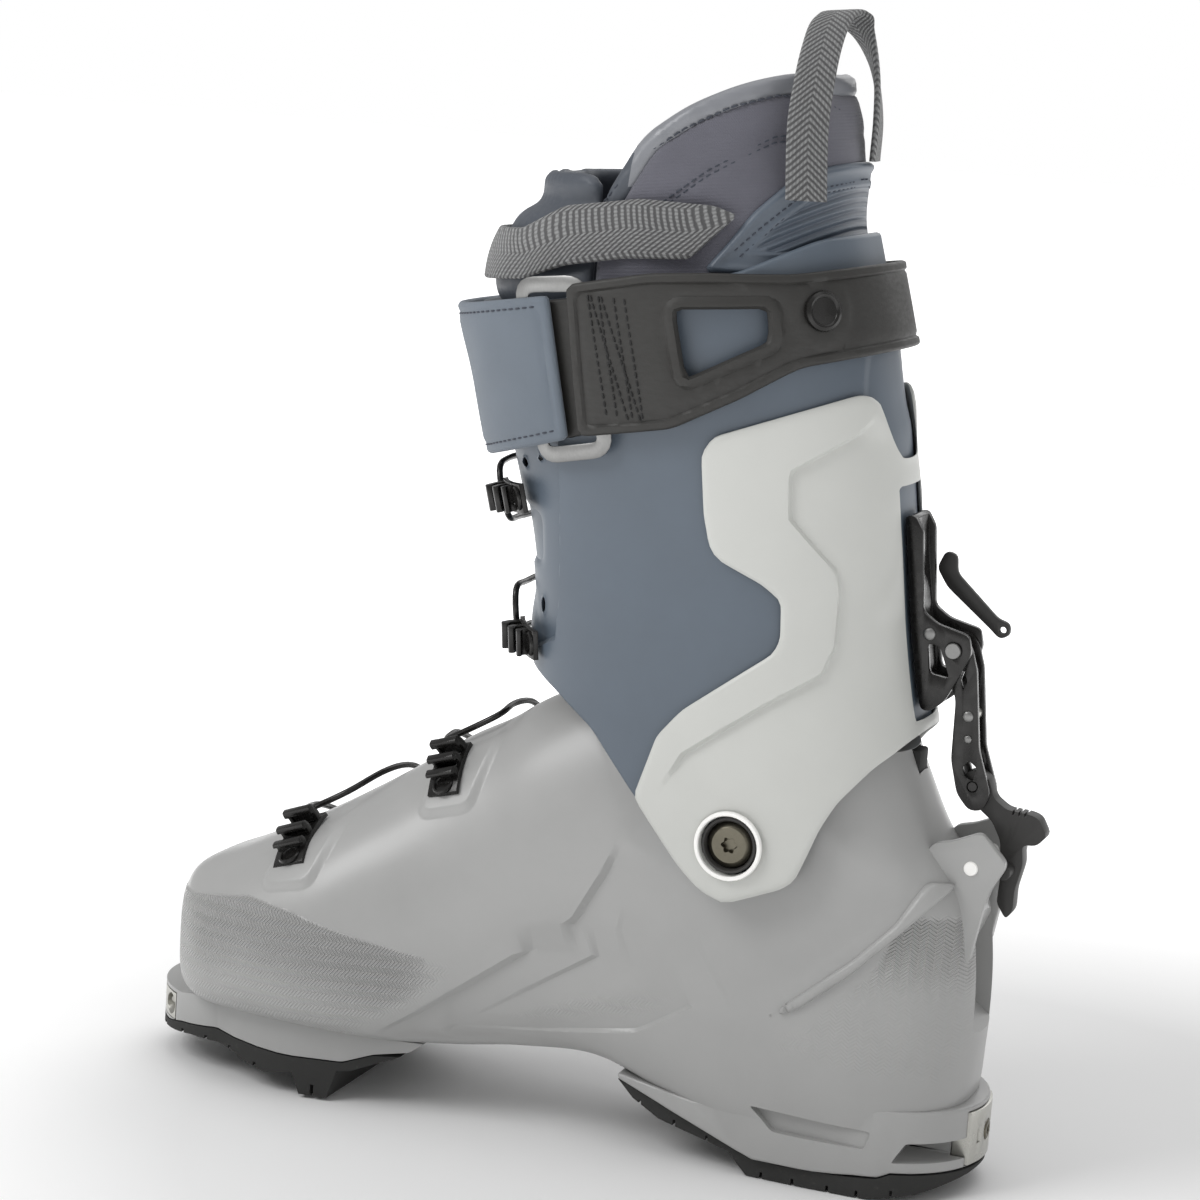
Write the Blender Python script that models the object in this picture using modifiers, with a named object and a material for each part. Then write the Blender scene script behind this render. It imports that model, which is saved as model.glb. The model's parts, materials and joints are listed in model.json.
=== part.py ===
"""Ski-touring boot, right foot, as an assembly of separate solids.

Lengths are millimetres from the boot-sole centre mark: X runs from the toe (-X) to the heel (+X),
Z is up and -Y is the inner (medial) side. The helper at() turns such a point into metres in the
part's own frame, whose origin is the centre of the heel tread.
"""

import math

import bmesh
import bpy
from mathutils import Matrix, Vector

MM = 0.001
HEEL_TREAD = (100.0, 2.5)       # X and Z of the heel tread's flat centre, the part's origin
GAP = 0.4                       # clearance left between neighbouring pieces
WIDE = 90.0                     # reach of side-view cutters to each side
SIDE_WALL = 4.5                 # shell wall at the sides
CUFF_WALL = 3.5
LINER_WALL = 6.0

# Joint axes and fixed pins, as X and Z; all of them run along Y.
PIVOT = (70.0, 117.3)
LINK_PIVOT = (128.0, 182.5)
LATCH_PIVOT = (137.5, 138.0)
LOCK_PIN = (142.0, 113.5)

PIVOT_BOSS_R = 12.0
BOSS_FACE_Y = 42.3
CUFF_HOLE_R = 9.8
BUSHING_R = 9.2
PIVOT_BOLT_R = 4.8
PIVOT_RING_R = (11.4, 9.9)
BUSHING_Y = (42.8, 50.6)
PIVOT_RING_Y = (50.5, 51.9)
LOCK_PIN_R = 2.4
EAR_Y = (12.5, 16.5)
CHANNEL_HALF = 11.5
CHANNEL_R = 77.5
CHANNEL_TURNS = (10, 0, -10, -20, -30, -38)
BUMPER = (115.0, 119.2, 139.0, 147.0)
BUMPER_HALF = 5.0

SOLE_END_R = 34.5               # round toe and heel ends of the sole
SOLE_END_X = 151.0
TOE_INSERT = (-147.0, -137.0, 17.0, 26.3)
HEEL_INSERT = (143.5, 153.0, 13.0, 31.0)
HEEL_INSERT_HALF = 13.5
HEEL_SCREW_R = 3.2

# Boot sections. Each row runs from a point on the top or front contour to a point on the
# bottom or rear contour: top X, top Z, bottom X, bottom Z, half width, centre Y,
# place of the widest point (0 top to 1 bottom), squareness of the upper and the lower end.
SHELL_ROWS = (
    (-139.6, 62.0, -139.4, 46.0, 10.0, -5.0, 0.50, 2.4, 2.2),
    (-138.4, 68.5, -138.0, 37.0, 16.5, -5.0, 0.50, 2.8, 2.4),
    (-135.6, 72.5, -135.2, 31.5, 24.0, -4.5, 0.50, 3.2, 2.8),
    (-130.0, 76.0, -130.0, 28.8, 33.5, -4.0, 0.54, 3.0, 4.0),
    (-118.0, 81.5, -118.0, 28.2, 43.5, -3.0, 0.60, 2.6, 5.0),
    (-99.0, 91.5, -98.0, 27.6, 49.5, -2.0, 0.62, 2.2, 5.0),
    (-78.0, 104.0, -76.0, 26.5, 50.5, -1.5, 0.64, 2.1, 5.0),
    (-58.0, 117.0, -53.0, 24.5, 47.0, -1.0, 0.66, 2.1, 4.5),
    (-41.0, 129.0, -29.0, 25.5, 43.5, -0.5, 0.66, 2.1, 4.0),
    (-26.0, 137.5, -5.0, 28.5, 41.5, 0.0, 0.62, 2.2, 4.0),
    (-14.5, 145.5, 22.0, 29.5, 40.5, 0.0, 0.58, 2.3, 4.0),
    (-4.0, 151.0, 48.0, 21.5, 40.0, 0.0, 0.55, 2.4, 4.5),
    (5.0, 155.0, 82.0, 9.6, 39.5, 0.0, 0.52, 2.5, 5.0),
    (8.0, 155.7, 103.0, 9.8, 39.2, 0.0, 0.51, 2.5, 5.0),
    (11.0, 156.2, 124.0, 10.6, 39.0, 0.0, 0.50, 2.6, 4.5),
    (13.0, 156.8, 143.0, 24.0, 38.5, 0.0, 0.49, 2.6, 3.2),
    (15.0, 157.2, 147.5, 50.0, 38.5, 0.0, 0.48, 2.6, 2.5),
    (17.0, 157.5, 147.5, 78.0, 38.5, 0.0, 0.48, 2.6, 2.3),
    (18.5, 157.8, 143.0, 101.0, 39.0, 0.0, 0.48, 2.6, 2.2),
    (20.0, 158.0, 130.0, 119.0, 39.0, 0.0, 0.48, 2.6, 2.2),
    (21.0, 158.2, 121.0, 137.0, 38.2, 0.0, 0.48, 2.6, 2.2),
    (22.0, 158.5, 116.5, 147.5, 36.8, 0.0, 0.48, 2.6, 2.2),
)
# Wall of the shell at the lower end of each row, and how far the toe rows move back inside.
LOW_WALL = (4, 4, 4, 4, 4, 4, 4, 4, 4.2, 4.5, 5, 8, 14, 16, 17, 18, 17, 16, 14, 9, 9, 7)
TOE_SHIFT = (1, 1, 0.9, 0.6, 0.3) + (0,) * 17
CAVITY_MOUTH = (27.5, 168.5, 110.5, 158.5, 34.5, 0.0, 0.48, 2.6, 2.2)
CUFF_ROWS = (
    (6.0, 92.0, 134.0, 90.0, 46.5, 0.0, 0.50, 2.8, 2.6),
    (-3.0, 122.0, 130.0, 116.0, 47.0, 0.0, 0.50, 2.7, 2.5),
    (-10.0, 146.0, 124.0, 138.0, 47.5, 0.0, 0.50, 2.6, 2.4),
    (-15.0, 160.0, 119.5, 153.0, 48.0, 0.0, 0.50, 2.6, 2.4),
    (-18.0, 175.0, 115.5, 170.0, 48.5, 0.0, 0.50, 2.5, 2.4),
    (-20.0, 192.0, 112.0, 190.0, 49.0, 0.0, 0.50, 2.5, 2.4),
    (-24.0, 210.0, 109.0, 212.0, 49.5, 0.0, 0.50, 2.4, 2.4),
    (-31.0, 235.0, 105.5, 238.0, 51.0, 0.0, 0.50, 2.4, 2.3),
    (-38.0, 260.0, 100.5, 263.0, 53.0, 0.0, 0.50, 2.3, 2.3),
    (-45.0, 283.0, 93.5, 290.0, 54.5, 0.0, 0.50, 2.3, 2.3),
    (-50.0, 301.0, 85.5, 318.0, 55.5, 0.0, 0.50, 2.3, 2.3),
)
LINER_ROWS = (
    (-10.0, 180.0, 107.5, 161.0, 43.0, 0.0, 0.50, 2.4, 2.4),
    (-14.5, 193.0, 106.0, 189.0, 43.8, 0.0, 0.50, 2.4, 2.4),
    (-18.5, 210.0, 103.5, 212.0, 44.5, 0.0, 0.50, 2.4, 2.4),
    (-25.5, 235.0, 100.0, 238.0, 46.0, 0.0, 0.50, 2.4, 2.3),
    (-32.5, 260.0, 95.0, 263.0, 47.8, 0.0, 0.50, 2.3, 2.3),
    (-38.5, 283.0, 87.5, 290.0, 48.8, 0.0, 0.50, 2.3, 2.3),
    (-40.0, 300.0, 80.2, 315.0, 47.5, 0.0, 0.50, 2.3, 2.3),
    (-37.0, 320.0, 80.0, 336.0, 45.5, 0.0, 0.50, 2.3, 2.3),
    (-31.0, 345.0, 76.0, 356.0, 43.5, 0.0, 0.50, 2.3, 2.3),
    (-27.0, 368.0, 72.0, 374.0, 42.0, 0.0, 0.50, 2.3, 2.3),
)
# The tongue leans back above the strap, away from the liner's own front.
TONGUE_ROWS = LINER_ROWS[:6] + (
    (-36.5, 300.0, 80.2, 315.0, 47.5, 0.0, 0.50, 2.3, 2.3),
    (-24.0, 320.0, 80.0, 336.0, 45.5, 0.0, 0.50, 2.3, 2.3),
    (-15.0, 345.0, 76.0, 356.0, 43.5, 0.0, 0.50, 2.3, 2.3),
)

# Side-view outlines and lines, as X and Z.
CUFF_OUTLINE = (
    (-80, 161), (-9, 161), (1, 157), (17, 147), (26, 136.8), (34.8, 127), (44, 119.5),
    (53.5, 109.5), (61, 103.5), (70, 101), (86, 107.5), (91, 111.5), (96, 126.5), (100.5, 136),
    (109, 147), (117, 154.5), (150, 158), (150, 316), (104, 315.5), (89, 314.5), (80, 312.5),
    (70, 307), (59, 301), (45, 297), (0, 287), (-30, 281), (-80, 279),
)
CREST_NOTCH = ((-17, 120), (17, 120), (14, 168), (0, 186), (-14, 168))
BACKBONE_OUTLINE = (
    (51.6, 243), (54.8, 248.6), (94.1, 264), (97.5, 262), (104.7, 241.3), (106.2, 242.5),
    (102.6, 264.5), (102.6, 279), (140, 279), (140, 160), (121, 156), (117.9, 153.4),
    (113.4, 148.4), (110.1, 145.4), (101.6, 134.2), (97.5, 125.5), (94.6, 116.5), (91.6, 108.2),
    (88, 105.1), (70.2, 97.8), (67.1, 98), (60.4, 100.9), (53, 107.4), (44.5, 117.5),
    (38.7, 124.5), (35.9, 128.1), (42.8, 149.7), (50.5, 159.1), (78.3, 180.8), (80.1, 185.5),
    (79.3, 198), (73.1, 202.9), (59, 209.5), (56.1, 213.1), (53.5, 223.5), (51.8, 239.7),
)
BACKBONE_WINDOW = (95.0, 140.0, 158.0, 234.0)
BACKBONE_WINDOW_HALF = 13.0
LOCK_PIN_Y = (8.6, 17.1)
BOLT_SOCKET_R = 2.1
EAR_OUTLINE = (
    (117, 108), (120, 118.5), (126, 116), (129, 120), (135, 121.5), (144, 125.5), (147, 123),
    (153, 117), (153, 114.5), (149, 107), (147, 100), (144, 82), (128, 84),
)
FRONT_SOLE_SIDE = (
    (-153, 28), (-134, 28), (-119, 27.7), (-98, 27.1), (-76, 26.0), (-53, 24.0), (-39, 24.4),
    (-46, 21.2), (-56, 20.7), (-66, 17.2), (-90, 16.8), (-118, 19.2), (-133, 17.7), (-141, 15.7),
    (-153, 15.7),
)
FRONT_TREAD_SIDE = (
    (-153, 15.2), (-141.2, 15.2), (-133.2, 17.2), (-118.2, 18.7), (-90, 16.3), (-66, 16.7),
    (-56.3, 20.2), (-47, 20.7), (-56, 17), (-63, 14.2), (-68, 13.6), (-71, 3.5), (-81, 3.5),
    (-84, 11), (-91, 9.5), (-95, 9), (-105, 11.5), (-107, 13), (-115, 14), (-128, 14.2),
    (-138, 13), (-153, 11.5),
)
HEEL_TREAD_SIDE = (
    (31, 26.0), (48, 20.8), (82, 8.8), (90, 8.2), (103, 8.5), (114, 8.9), (124, 9.7), (128, 11.5),
    (153, 11.5), (149, 9.5), (136, 5), (121, 2.5), (79.5, 2.5), (76, 6), (73, 9.5), (60, 12.5),
    (47, 15.5), (37, 20.5),
)
FRONT_SOLE_PLAN = ((-108, 38.5), (-98, 41), (-84, 42), (-68, 40), (-54, 36), (-38, 32))
HEEL_SOLE_PLAN = ((98, 34.5), (76, 33.5), (50, 32), (28, 29))
HEEL_LEDGE_PLAN = ((104, 34.5), (98, 30))
HEEL_LEDGE_Z = (12.0, 33.0)
BOARD_LINE = ((-160, 35.5), (-70, 35.5), (0, 41), (60, 44), (160, 46))
BRACKET_OUTLINE = (
    (108.2, 224.5), (109.9, 212), (113.0, 190), (116.6, 170), (118.6, 162), (121.5, 161.5),
    (126, 165), (131, 175), (134, 182), (132.5, 188), (122, 190.5), (116.8, 194), (115.8, 205),
    (114.5, 220), (111.5, 225),
)
BRACKET_SLOT = (
    (111.5, 230), (113.0, 212), (116.2, 190), (119.6, 170), (121.6, 150), (145, 150), (145, 230),
)
BRACKET_HALF = 9.0
BRACKET_SLOT_HALF = 6.4
LINK_PIN_R = 1.9
LINK_PIN_LENGTH = 20.4
LINK_OUTLINE = (
    (124.2, 179.5), (123.6, 184), (126.5, 187), (130, 187), (133, 184), (135.6, 176), (138.6, 150),
    (143.6, 136), (141.5, 130.5), (137, 130), (132.5, 135), (129.6, 146), (129.4, 166),
)
LINK_Y = (3.7, 5.8)
LINK_SPACER = (134.0, 161.0)
LINK_SPACER_R = 2.6
SPACER_GAP = 0.35
LATCH_OUTLINE = (
    (133, 139.5), (134.8, 142.3), (138.5, 143), (142.2, 141), (144.5, 134.5), (149, 131.5),
    (157, 131), (160, 130), (163, 124.5), (160, 121), (155.2, 120.5), (156, 114), (154, 105),
    (154, 98), (152, 95), (148.5, 100), (149, 110), (147.8, 121), (144.5, 127), (138, 132),
    (133.8, 135),
)
LATCH_HALF = 3.2
LATCH_BAR = (151.2, 112.0)
LATCH_BAR_R = 2.4
LATCH_BAR_LENGTH = 21.0
TRUNNION_R = 1.5
TRUNNION_LENGTH = 11.4
RELEASE_WALL = 2.4
RELEASE_OUTLINE = (
    (115.5, 206), (118, 212), (122, 211), (122.5, 205), (137.5, 191.5), (141.5, 190.5),
    (142, 186.5), (138.5, 184.8), (135.5, 187.5), (119.5, 200),
)
STRAP_OUTLINE = (
    (7.4, 293), (32, 298.6), (50, 300), (72, 300.6), (94, 304.4), (120, 306), (120, 275),
    (101, 277.6), (77.5, 272), (62.4, 261.6), (42.5, 250.5), (14.2, 245),
)
STRAP_WINDOW = ((40.8, 288), (66.8, 289.8), (68.3, 279.6), (45.8, 266.7))
SLEEVE_OUTLINE = ((-80, 277), (-31.8, 283.2), (-0.7, 288.8), (8, 243.3), (-27.3, 232.2), (-80, 222))
COLLAR_OUTLINE = (
    (45.5, 299.5), (52, 309), (58, 319), (69, 331.5), (78, 335.5), (90, 339), (110, 340), (110, 299.5),
)
WEBBING_OUTLINE = (
    (-80, 283.5), (-15, 291.5), (1, 297.5), (21, 301.5), (41.5, 303), (54, 318), (47, 320.5),
    (24, 320.5), (-1, 315.5), (-17, 306.5), (-80, 299),
)
LINER_OUTLINE = (
    (10, 140), (10, 319), (21, 340), (35, 351), (49, 358.5), (62, 363), (72, 362.5), (81, 356),
    (90, 348), (130, 340), (130, 140),
)
TONGUE_OUTLINE = (
    (-80, 140), (9.2, 140), (9.2, 323), (5, 327), (-5, 326), (-18, 324.5), (-80, 322),
)

# Pull loop: centre, direction across and outward direction.
LOOP_STATIONS = (
    ((74.8, -39.8, 332.0), (0.80, 0.55, 0.0), (0.55, -0.83, 0.0)),
    ((74.1, -38.8, 346.0), (0.80, 0.55, 0.0), (0.55, -0.83, 0.0)),
    ((73.6, -34.5, 360.0), (0.80, 0.55, 0.1), (0.50, -0.80, 0.3)),
    ((73.0, -27.0, 371.8), (0.80, 0.55, 0.1), (0.30, -0.70, 0.6)),
    ((72.8, -17.5, 380.2), (0.80, 0.45, 0.1), (0.0, -0.3, 1.0)),
    ((74.5, -8.0, 382.8), (0.80, 0.30, 0.1), (0.1, 0.3, 1.0)),
    ((78.4, 0.0, 377.0), (0.60, -0.60, 0.1), (0.7, 0.5, 0.5)),
    ((82.0, 5.0, 365.0), (0.35, -0.90, 0.0), (0.95, 0.3, 0.0)),
    ((83.6, 7.0, 350.5), (0.15, -0.98, 0.0), (0.98, 0.15, 0.0)),
    ((83.6, 7.0, 336.5), (0.12, -0.99, 0.0), (0.99, 0.12, 0.0)),
)
LOOP_HALF = 6.8
LOOP_WALL = 2.2

# Walls and lifts of the pieces that lie over the cuff and the liner.
BACKBONE_WALL = 2.6
STRAP_LIFT = 3.6
STRAP_WALL = 2.4
SLEEVE_WALL = 3.2
COLLAR_WALL = 1.8
WEBBING_WALL = 1.6
WEBBING_LIFT = 2.4           # clears the liner's sides, which stand out past the tongue's rows
RING_CORNERS = ((-11.5, 291.0), (9.5, 293.5), (21.0, 241.5), (-1.0, 236.5))
RING_SHARES = (0.06, 0.35, 0.65, 0.94)      # places of the wire's points along each side
RING_LIFT = 8.2
RING_WIRE_R = 1.2
BUTTON_INDEX = 9.0
BUTTON_ANGLES = {"medial": 148.8, "lateral": 211.2}
BUTTON_LIFT = 7.6
BUTTON_R = 6.5
BUTTON_THICK = 2.4

# Liner foot and footbed: gap to the shell, and heights over the board line.
FOOT_GAP = 1.4
BOARD_GAP = 0.6
FOOT_RISE = 0.2
SPACE_RISE = 4.5
FOOTBED_RISE = (5.0, 8.0)
LINER_TOP = 260.0

# Buckles: rows, place along the rows, angle of the lever hinge, angle of the bail's hook,
# half spread of the bail in rows at the hook and over the middle, lever length.
BUCKLES = {
    "toe": (SHELL_ROWS, 5.55, 288, 12, 0.30, 0.85, 40.0),
    "instep": (SHELL_ROWS, 8.3, 288, 12, 0.55, 0.80, 42.0),
    "lower": (CUFF_ROWS, 4.2, 287, 14, 0.40, 0.50, 44.0),
    "upper": (CUFF_ROWS, 6.3, 287, 14, 0.32, 0.42, 44.0),
}
# Catch ladders: rows, side-view start and end, half width.
LADDERS = {
    "toe": (SHELL_ROWS, (-88.3, 81.5), (-90.3, 94.0), 6.2),
    "instep": (SHELL_ROWS, (-37.0, 112.5), (-39.0, 126.5), 6.0),
    "lower": (CUFF_ROWS, (-4.0, 171.0), (-15.0, 172.5), 5.0),
    "upper": (CUFF_ROWS, (-11.0, 220.0), (-23.5, 219.0), 5.0),
}
LADDER_LIFT = 1.9
LADDER_TOP = 3.9
TOOTH_TOP = 5.7
TOOTH_FOOT = 1.2
TOOTH_TIP = 0.2
LEVER_HALF = 8.0
HINGE_LIFT = 6.6
KNUCKLE_R = 3.3
HINGE_PIN_R = 1.5
EAR_U = (9.0, 11.0)
BAIL_R = 1.1
BAIL_LIFT = 4.6
ATTACH_BACK = 9.5               # bail attaches this far behind the lever hinge
ATTACH_LIFT = 7.6
PIN_OVERHANG = 0.7
# Side views of the buckle's base and ear, along the wrap direction and away from the skin.
BASE_SIDE = ((-13, 0.8), (13, 0.8), (13, 2.8), (-13, 2.8))
EAR_SIDE = ((-5, 2.0), (5, 2.0), (3.6, 8.2), (1.8, 9.8), (-1.8, 9.8), (-3.6, 8.2))
HANDLE_UNDER = ((-3.0, 4.0), (-13.5, 4.6))
HANDLE_OVER = (
    (-22, 9.6), (-12.5, 11.2), (-4.5, 11.4), (1.0, 10.0), (3.3, 7.4), (2.6, 4.6), (0.6, 3.4),
)
# Bail: clearance beside the ears, run past the base, and first angle beyond the hinge.
BAIL_CLEAR = 2.2
BAIL_START = 3.0
BAIL_PAST_BASE = 15.0
BAIL_EXTRA_LIFT = 1.5
BAIL_FIRST_ANGLE = 12
BAIL_STATIONS = 6
BAIL_SPREAD_POWER = 0.7

PALETTE = {
    "shell": ((0.36, 0.36, 0.35), 0.0, 0.42),
    "backbone": ((0.58, 0.58, 0.57), 0.0, 0.40),
    "cuff": ((0.13, 0.16, 0.20), 0.0, 0.45),
    "rubber": ((0.030, 0.030, 0.029), 0.0, 0.75),
    "black_alloy": ((0.03, 0.03, 0.03), 0.6, 0.38),
    "steel": ((0.55, 0.55, 0.53), 1.0, 0.30),
    "bronze": ((0.20, 0.19, 0.16), 1.0, 0.35),
    "black_plastic": ((0.035, 0.034, 0.033), 0.0, 0.5),
    "white_plastic": ((0.85, 0.85, 0.84), 0.0, 0.35),
    "sleeve_fabric": ((0.19, 0.22, 0.26), 0.0, 0.9),
    "liner_fabric": ((0.13, 0.13, 0.15), 0.0, 0.95),
    "foam": ((0.20, 0.20, 0.21), 0.0, 0.9),
    "overlay": ((0.15, 0.19, 0.24), 0.0, 0.5),
    "webbing": ((0.20, 0.20, 0.20), 0.0, 0.9),
    "board": ((0.05, 0.05, 0.055), 0.0, 0.6),
}


def at(x, y, z):
    return ((x - HEEL_TREAD[0]) * MM, y * MM, (z - HEEL_TREAD[1]) * MM)


def smooth_rows(rows, steps):
    """Catmull-Rom sections between the rows, steps to each span."""
    first = [2 * a - b for a, b in zip(rows[0], rows[1])]
    last = [2 * a - b for a, b in zip(rows[-1], rows[-2])]
    padded = [first, *rows, last]
    made = []
    for i in range(len(rows) - 1):
        for k in range(steps):
            t = k / steps
            made.append([0.5 * (2 * b + (c - a) * t + (2 * a - 5 * b + 4 * c - d) * t * t
                                + (3 * b - a - 3 * c + d) * t ** 3)
                         for a, b, c, d in zip(*padded[i:i + 4])])
    made.append(list(rows[-1]))
    return made


def section(row, around):
    """Points of one closed section, starting at the top and passing down the medial side."""
    top_x, top_z, low_x, low_z, half, centre, widest, upper, lower = row
    points = []
    for k in range(around):
        angle = 2 * math.pi * k / around
        rise = math.cos(angle)
        side = -1 if angle < math.pi else 1
        power = 2 / (upper if rise >= 0 else lower)
        out = abs(rise) ** power
        share = widest * (1 - out) if rise >= 0 else widest + (1 - widest) * out
        spread = abs(math.sin(angle)) ** power if k % (around / 2) else 0.0
        points.append((top_x + (low_x - top_x) * share, centre + side * half * spread,
                       top_z + (low_z - top_z) * share))
    return points


def grown(rows, amount):
    """The same sections with their surface moved outwards, or inwards when amount is negative."""
    made = []
    for row in rows:
        row = list(row)
        reach_x = row[2] - row[0]
        reach_z = row[3] - row[1]
        length = math.hypot(reach_x, reach_z)
        row[0] -= amount * reach_x / length
        row[1] -= amount * reach_z / length
        row[2] += amount * reach_x / length
        row[3] += amount * reach_z / length
        row[4] += amount
        made.append(row)
    return made


def cavity_rows(extra):
    """Sections of the space inside the shell, drawn in by extra millimetres."""
    rows = []
    for row, low, shift in zip(SHELL_ROWS, LOW_WALL, TOE_SHIFT):
        length = math.hypot(row[2] - row[0], row[3] - row[1])
        unit_x = (row[2] - row[0]) / length
        unit_z = (row[3] - row[1]) / length
        inner = list(row)
        top_in = min(SIDE_WALL + extra, 0.40 * length)
        low_in = min(low + extra, 0.40 * length)
        back = shift * (SIDE_WALL + extra)
        inner[0] += top_in * unit_x + back
        inner[1] += top_in * unit_z
        inner[2] -= low_in * unit_x - back
        inner[3] -= low_in * unit_z
        inner[4] -= min(SIDE_WALL + extra, 0.6 * row[4])
        rows.append(inner)
    return rows


def mouth_row(extra):
    return grown([CAVITY_MOUTH], -extra)[0]


def side_y(rows, x, z):
    """Half width of the skin beside a side-view point, measured from the middle plane."""
    fine = smooth_rows(rows, 12)
    sides = [(r[2] - r[0]) * (z - r[1]) - (r[3] - r[1]) * (x - r[0]) for r in fine]
    for k in range(len(fine) - 1):
        if sides[k] * sides[k + 1] > 0:
            continue
        mix = sides[k] / (sides[k] - sides[k + 1])
        row = [a + (b - a) * mix for a, b in zip(fine[k], fine[k + 1])]
        reach = (row[2] - row[0], row[3] - row[1])
        share = ((x - row[0]) * reach[0] + (z - row[1]) * reach[1]) / (reach[0] ** 2 + reach[1] ** 2)
        if not 0 < share < 1:
            continue
        if share < row[6]:
            off, power = (row[6] - share) / row[6], row[7]
        else:
            off, power = (share - row[6]) / (1 - row[6]), row[8]
        return row[4] * (1 - off ** power) ** (1 / power)
    raise ValueError(f"no skin beside {x}, {z}")


def medial_normal(rows, x, z):
    """Outward normal of the skin beside a side-view point, on the medial side."""
    step = 1.5
    slope_x = (side_y(rows, x + step, z) - side_y(rows, x - step, z)) / (2 * step)
    slope_z = (side_y(rows, x, z + step) - side_y(rows, x, z - step)) / (2 * step)
    return Vector((-slope_x, -1.0, -slope_z)).normalized()


def place_on(rows, index, angle, grow=0.0):
    """A point of the skin: index counts along the rows, angle in degrees from the top."""
    fine = smooth_rows(grown(rows, grow), 20)
    row = fine[min(round(index * 20), len(fine) - 1)]
    return Vector(section(row, 720)[round(angle * 2) % 720])


def frame_on(rows, index, angle):
    """Point, axis along the rows, outward normal and direction towards the top, on the skin."""
    spot = place_on(rows, index, angle)
    along = (place_on(rows, index + 0.3, angle) - place_on(rows, index - 0.3, angle)).normalized()
    turn = -3 if angle < 180 else 3
    upward = place_on(rows, index, angle + turn) - place_on(rows, index, angle - turn)
    upward = (upward - along * upward.dot(along)).normalized()
    normal = along.cross(upward).normalized()
    if normal.y * spot.y < 0:
        normal = -normal
    return spot, along, normal, upward


def clear_scene():
    for old in list(bpy.data.objects):
        bpy.data.objects.remove(old)


def collection(name, hidden):
    made = bpy.data.collections.new(name)
    bpy.context.scene.collection.children.link(made)
    made.hide_render = hidden
    return made


def material(name):
    """The named Principled material, made once."""
    if name in bpy.data.materials:
        return bpy.data.materials[name]
    colour, metallic, roughness = PALETTE[name]
    made = bpy.data.materials.new(name)
    made.use_nodes = True
    shader = made.node_tree.nodes["Principled BSDF"]
    shader.inputs["Base Color"].default_value = (*colour, 1.0)
    shader.inputs["Metallic"].default_value = metallic
    shader.inputs["Roughness"].default_value = roughness
    made.diffuse_color = (*colour, 1.0)
    return made


def place(name, mesh, look=None, origin=None):
    """An object from a mesh in boot millimetres. Without a look it is a cutter."""
    centre = Vector(at(*(origin or (HEEL_TREAD[0], 0.0, HEEL_TREAD[1]))))
    to_metres = Matrix.Translation(Vector(at(0.0, 0.0, 0.0)) - centre) @ Matrix.Diagonal((MM, MM, MM, 1.0))
    mesh.transform(to_metres)
    made = bpy.data.objects.new(name, mesh)
    made.location = centre
    if look:
        mesh.materials.append(material(look))
        parts.objects.link(made)
    else:
        made.hide_render = True
        made.display_type = "WIRE"
        cutters.objects.link(made)
    return made


def mesh_of(work, name):
    bmesh.ops.recalc_face_normals(work, faces=work.faces)
    mesh = bpy.data.meshes.new(name)
    work.to_mesh(mesh)
    work.free()
    return mesh


def slab(name, outline, ends, look=None, axes="xzy", origin=None, frame=None):
    """A flat outline extruded between two ends, along named axes or in a frame of vectors."""
    if frame:
        start, first, second, third = frame
    else:
        unit = {"x": Vector((1, 0, 0)), "y": Vector((0, 1, 0)), "z": Vector((0, 0, 1))}
        start = Vector((0, 0, 0))
        first, second, third = (unit[letter] for letter in axes)
    work = bmesh.new()
    corners = [work.verts.new(start + first * a + second * b + third * ends[0]) for a, b in outline]
    face = work.faces.new(corners)
    pulled = bmesh.ops.extrude_face_region(work, geom=[face])["geom"]
    moved = [item for item in pulled if isinstance(item, bmesh.types.BMVert)]
    bmesh.ops.translate(work, verts=moved, vec=third * (ends[1] - ends[0]))
    return place(name, mesh_of(work, name), look, origin)


def rod(name, centre, axis, radius, length, sides, look=None, origin=None):
    """A cylinder about its centre."""
    work = bmesh.new()
    turn = Vector((0, 0, 1)).rotation_difference(Vector(axis)).to_matrix().to_4x4()
    bmesh.ops.create_cone(work, cap_ends=True, segments=sides, radius1=radius, radius2=radius,
                          depth=length, matrix=Matrix.Translation(Vector(centre)) @ turn)
    return place(name, mesh_of(work, name), look, origin or centre)


def wire(name, points, radius, look, origin):
    """A round wire through the points."""
    curve = bpy.data.curves.new(name, "CURVE")
    curve.dimensions = "3D"
    curve.bevel_depth = radius * MM
    curve.bevel_resolution = 1
    curve.use_fill_caps = True
    spline = curve.splines.new("POLY")
    spline.points.add(len(points) - 1)
    base = Vector(at(*origin))
    for spot, target in zip(spline.points, points):
        spot.co = (*(Vector(at(*target)) - base), 1.0)
    curve.materials.append(material(look))
    made = bpy.data.objects.new(name, curve)
    made.location = base
    parts.objects.link(made)
    return made


def ribbon(name, stations, half, thickness, look, origin=None):
    """A flat strap through stations of centre, direction across and outward direction."""
    work = bmesh.new()
    rings = []
    for centre, across, outward in stations:
        centre, across = Vector(centre), Vector(across).normalized()
        outward = Vector(outward)
        outward = (outward - across * outward.dot(across)).normalized()
        corners = ((-1, -1), (1, -1), (1, 1), (-1, 1))
        rings.append([work.verts.new(centre + across * (a * half) + outward * (b * thickness / 2))
                      for a, b in corners])
    for low, high in zip(rings, rings[1:]):
        for k in range(4):
            following = (k + 1) % 4
            work.faces.new((low[k], low[following], high[following], high[k]))
    work.faces.new(rings[0])
    work.faces.new(reversed(rings[-1]))
    return place(name, mesh_of(work, name), look, origin)


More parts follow.
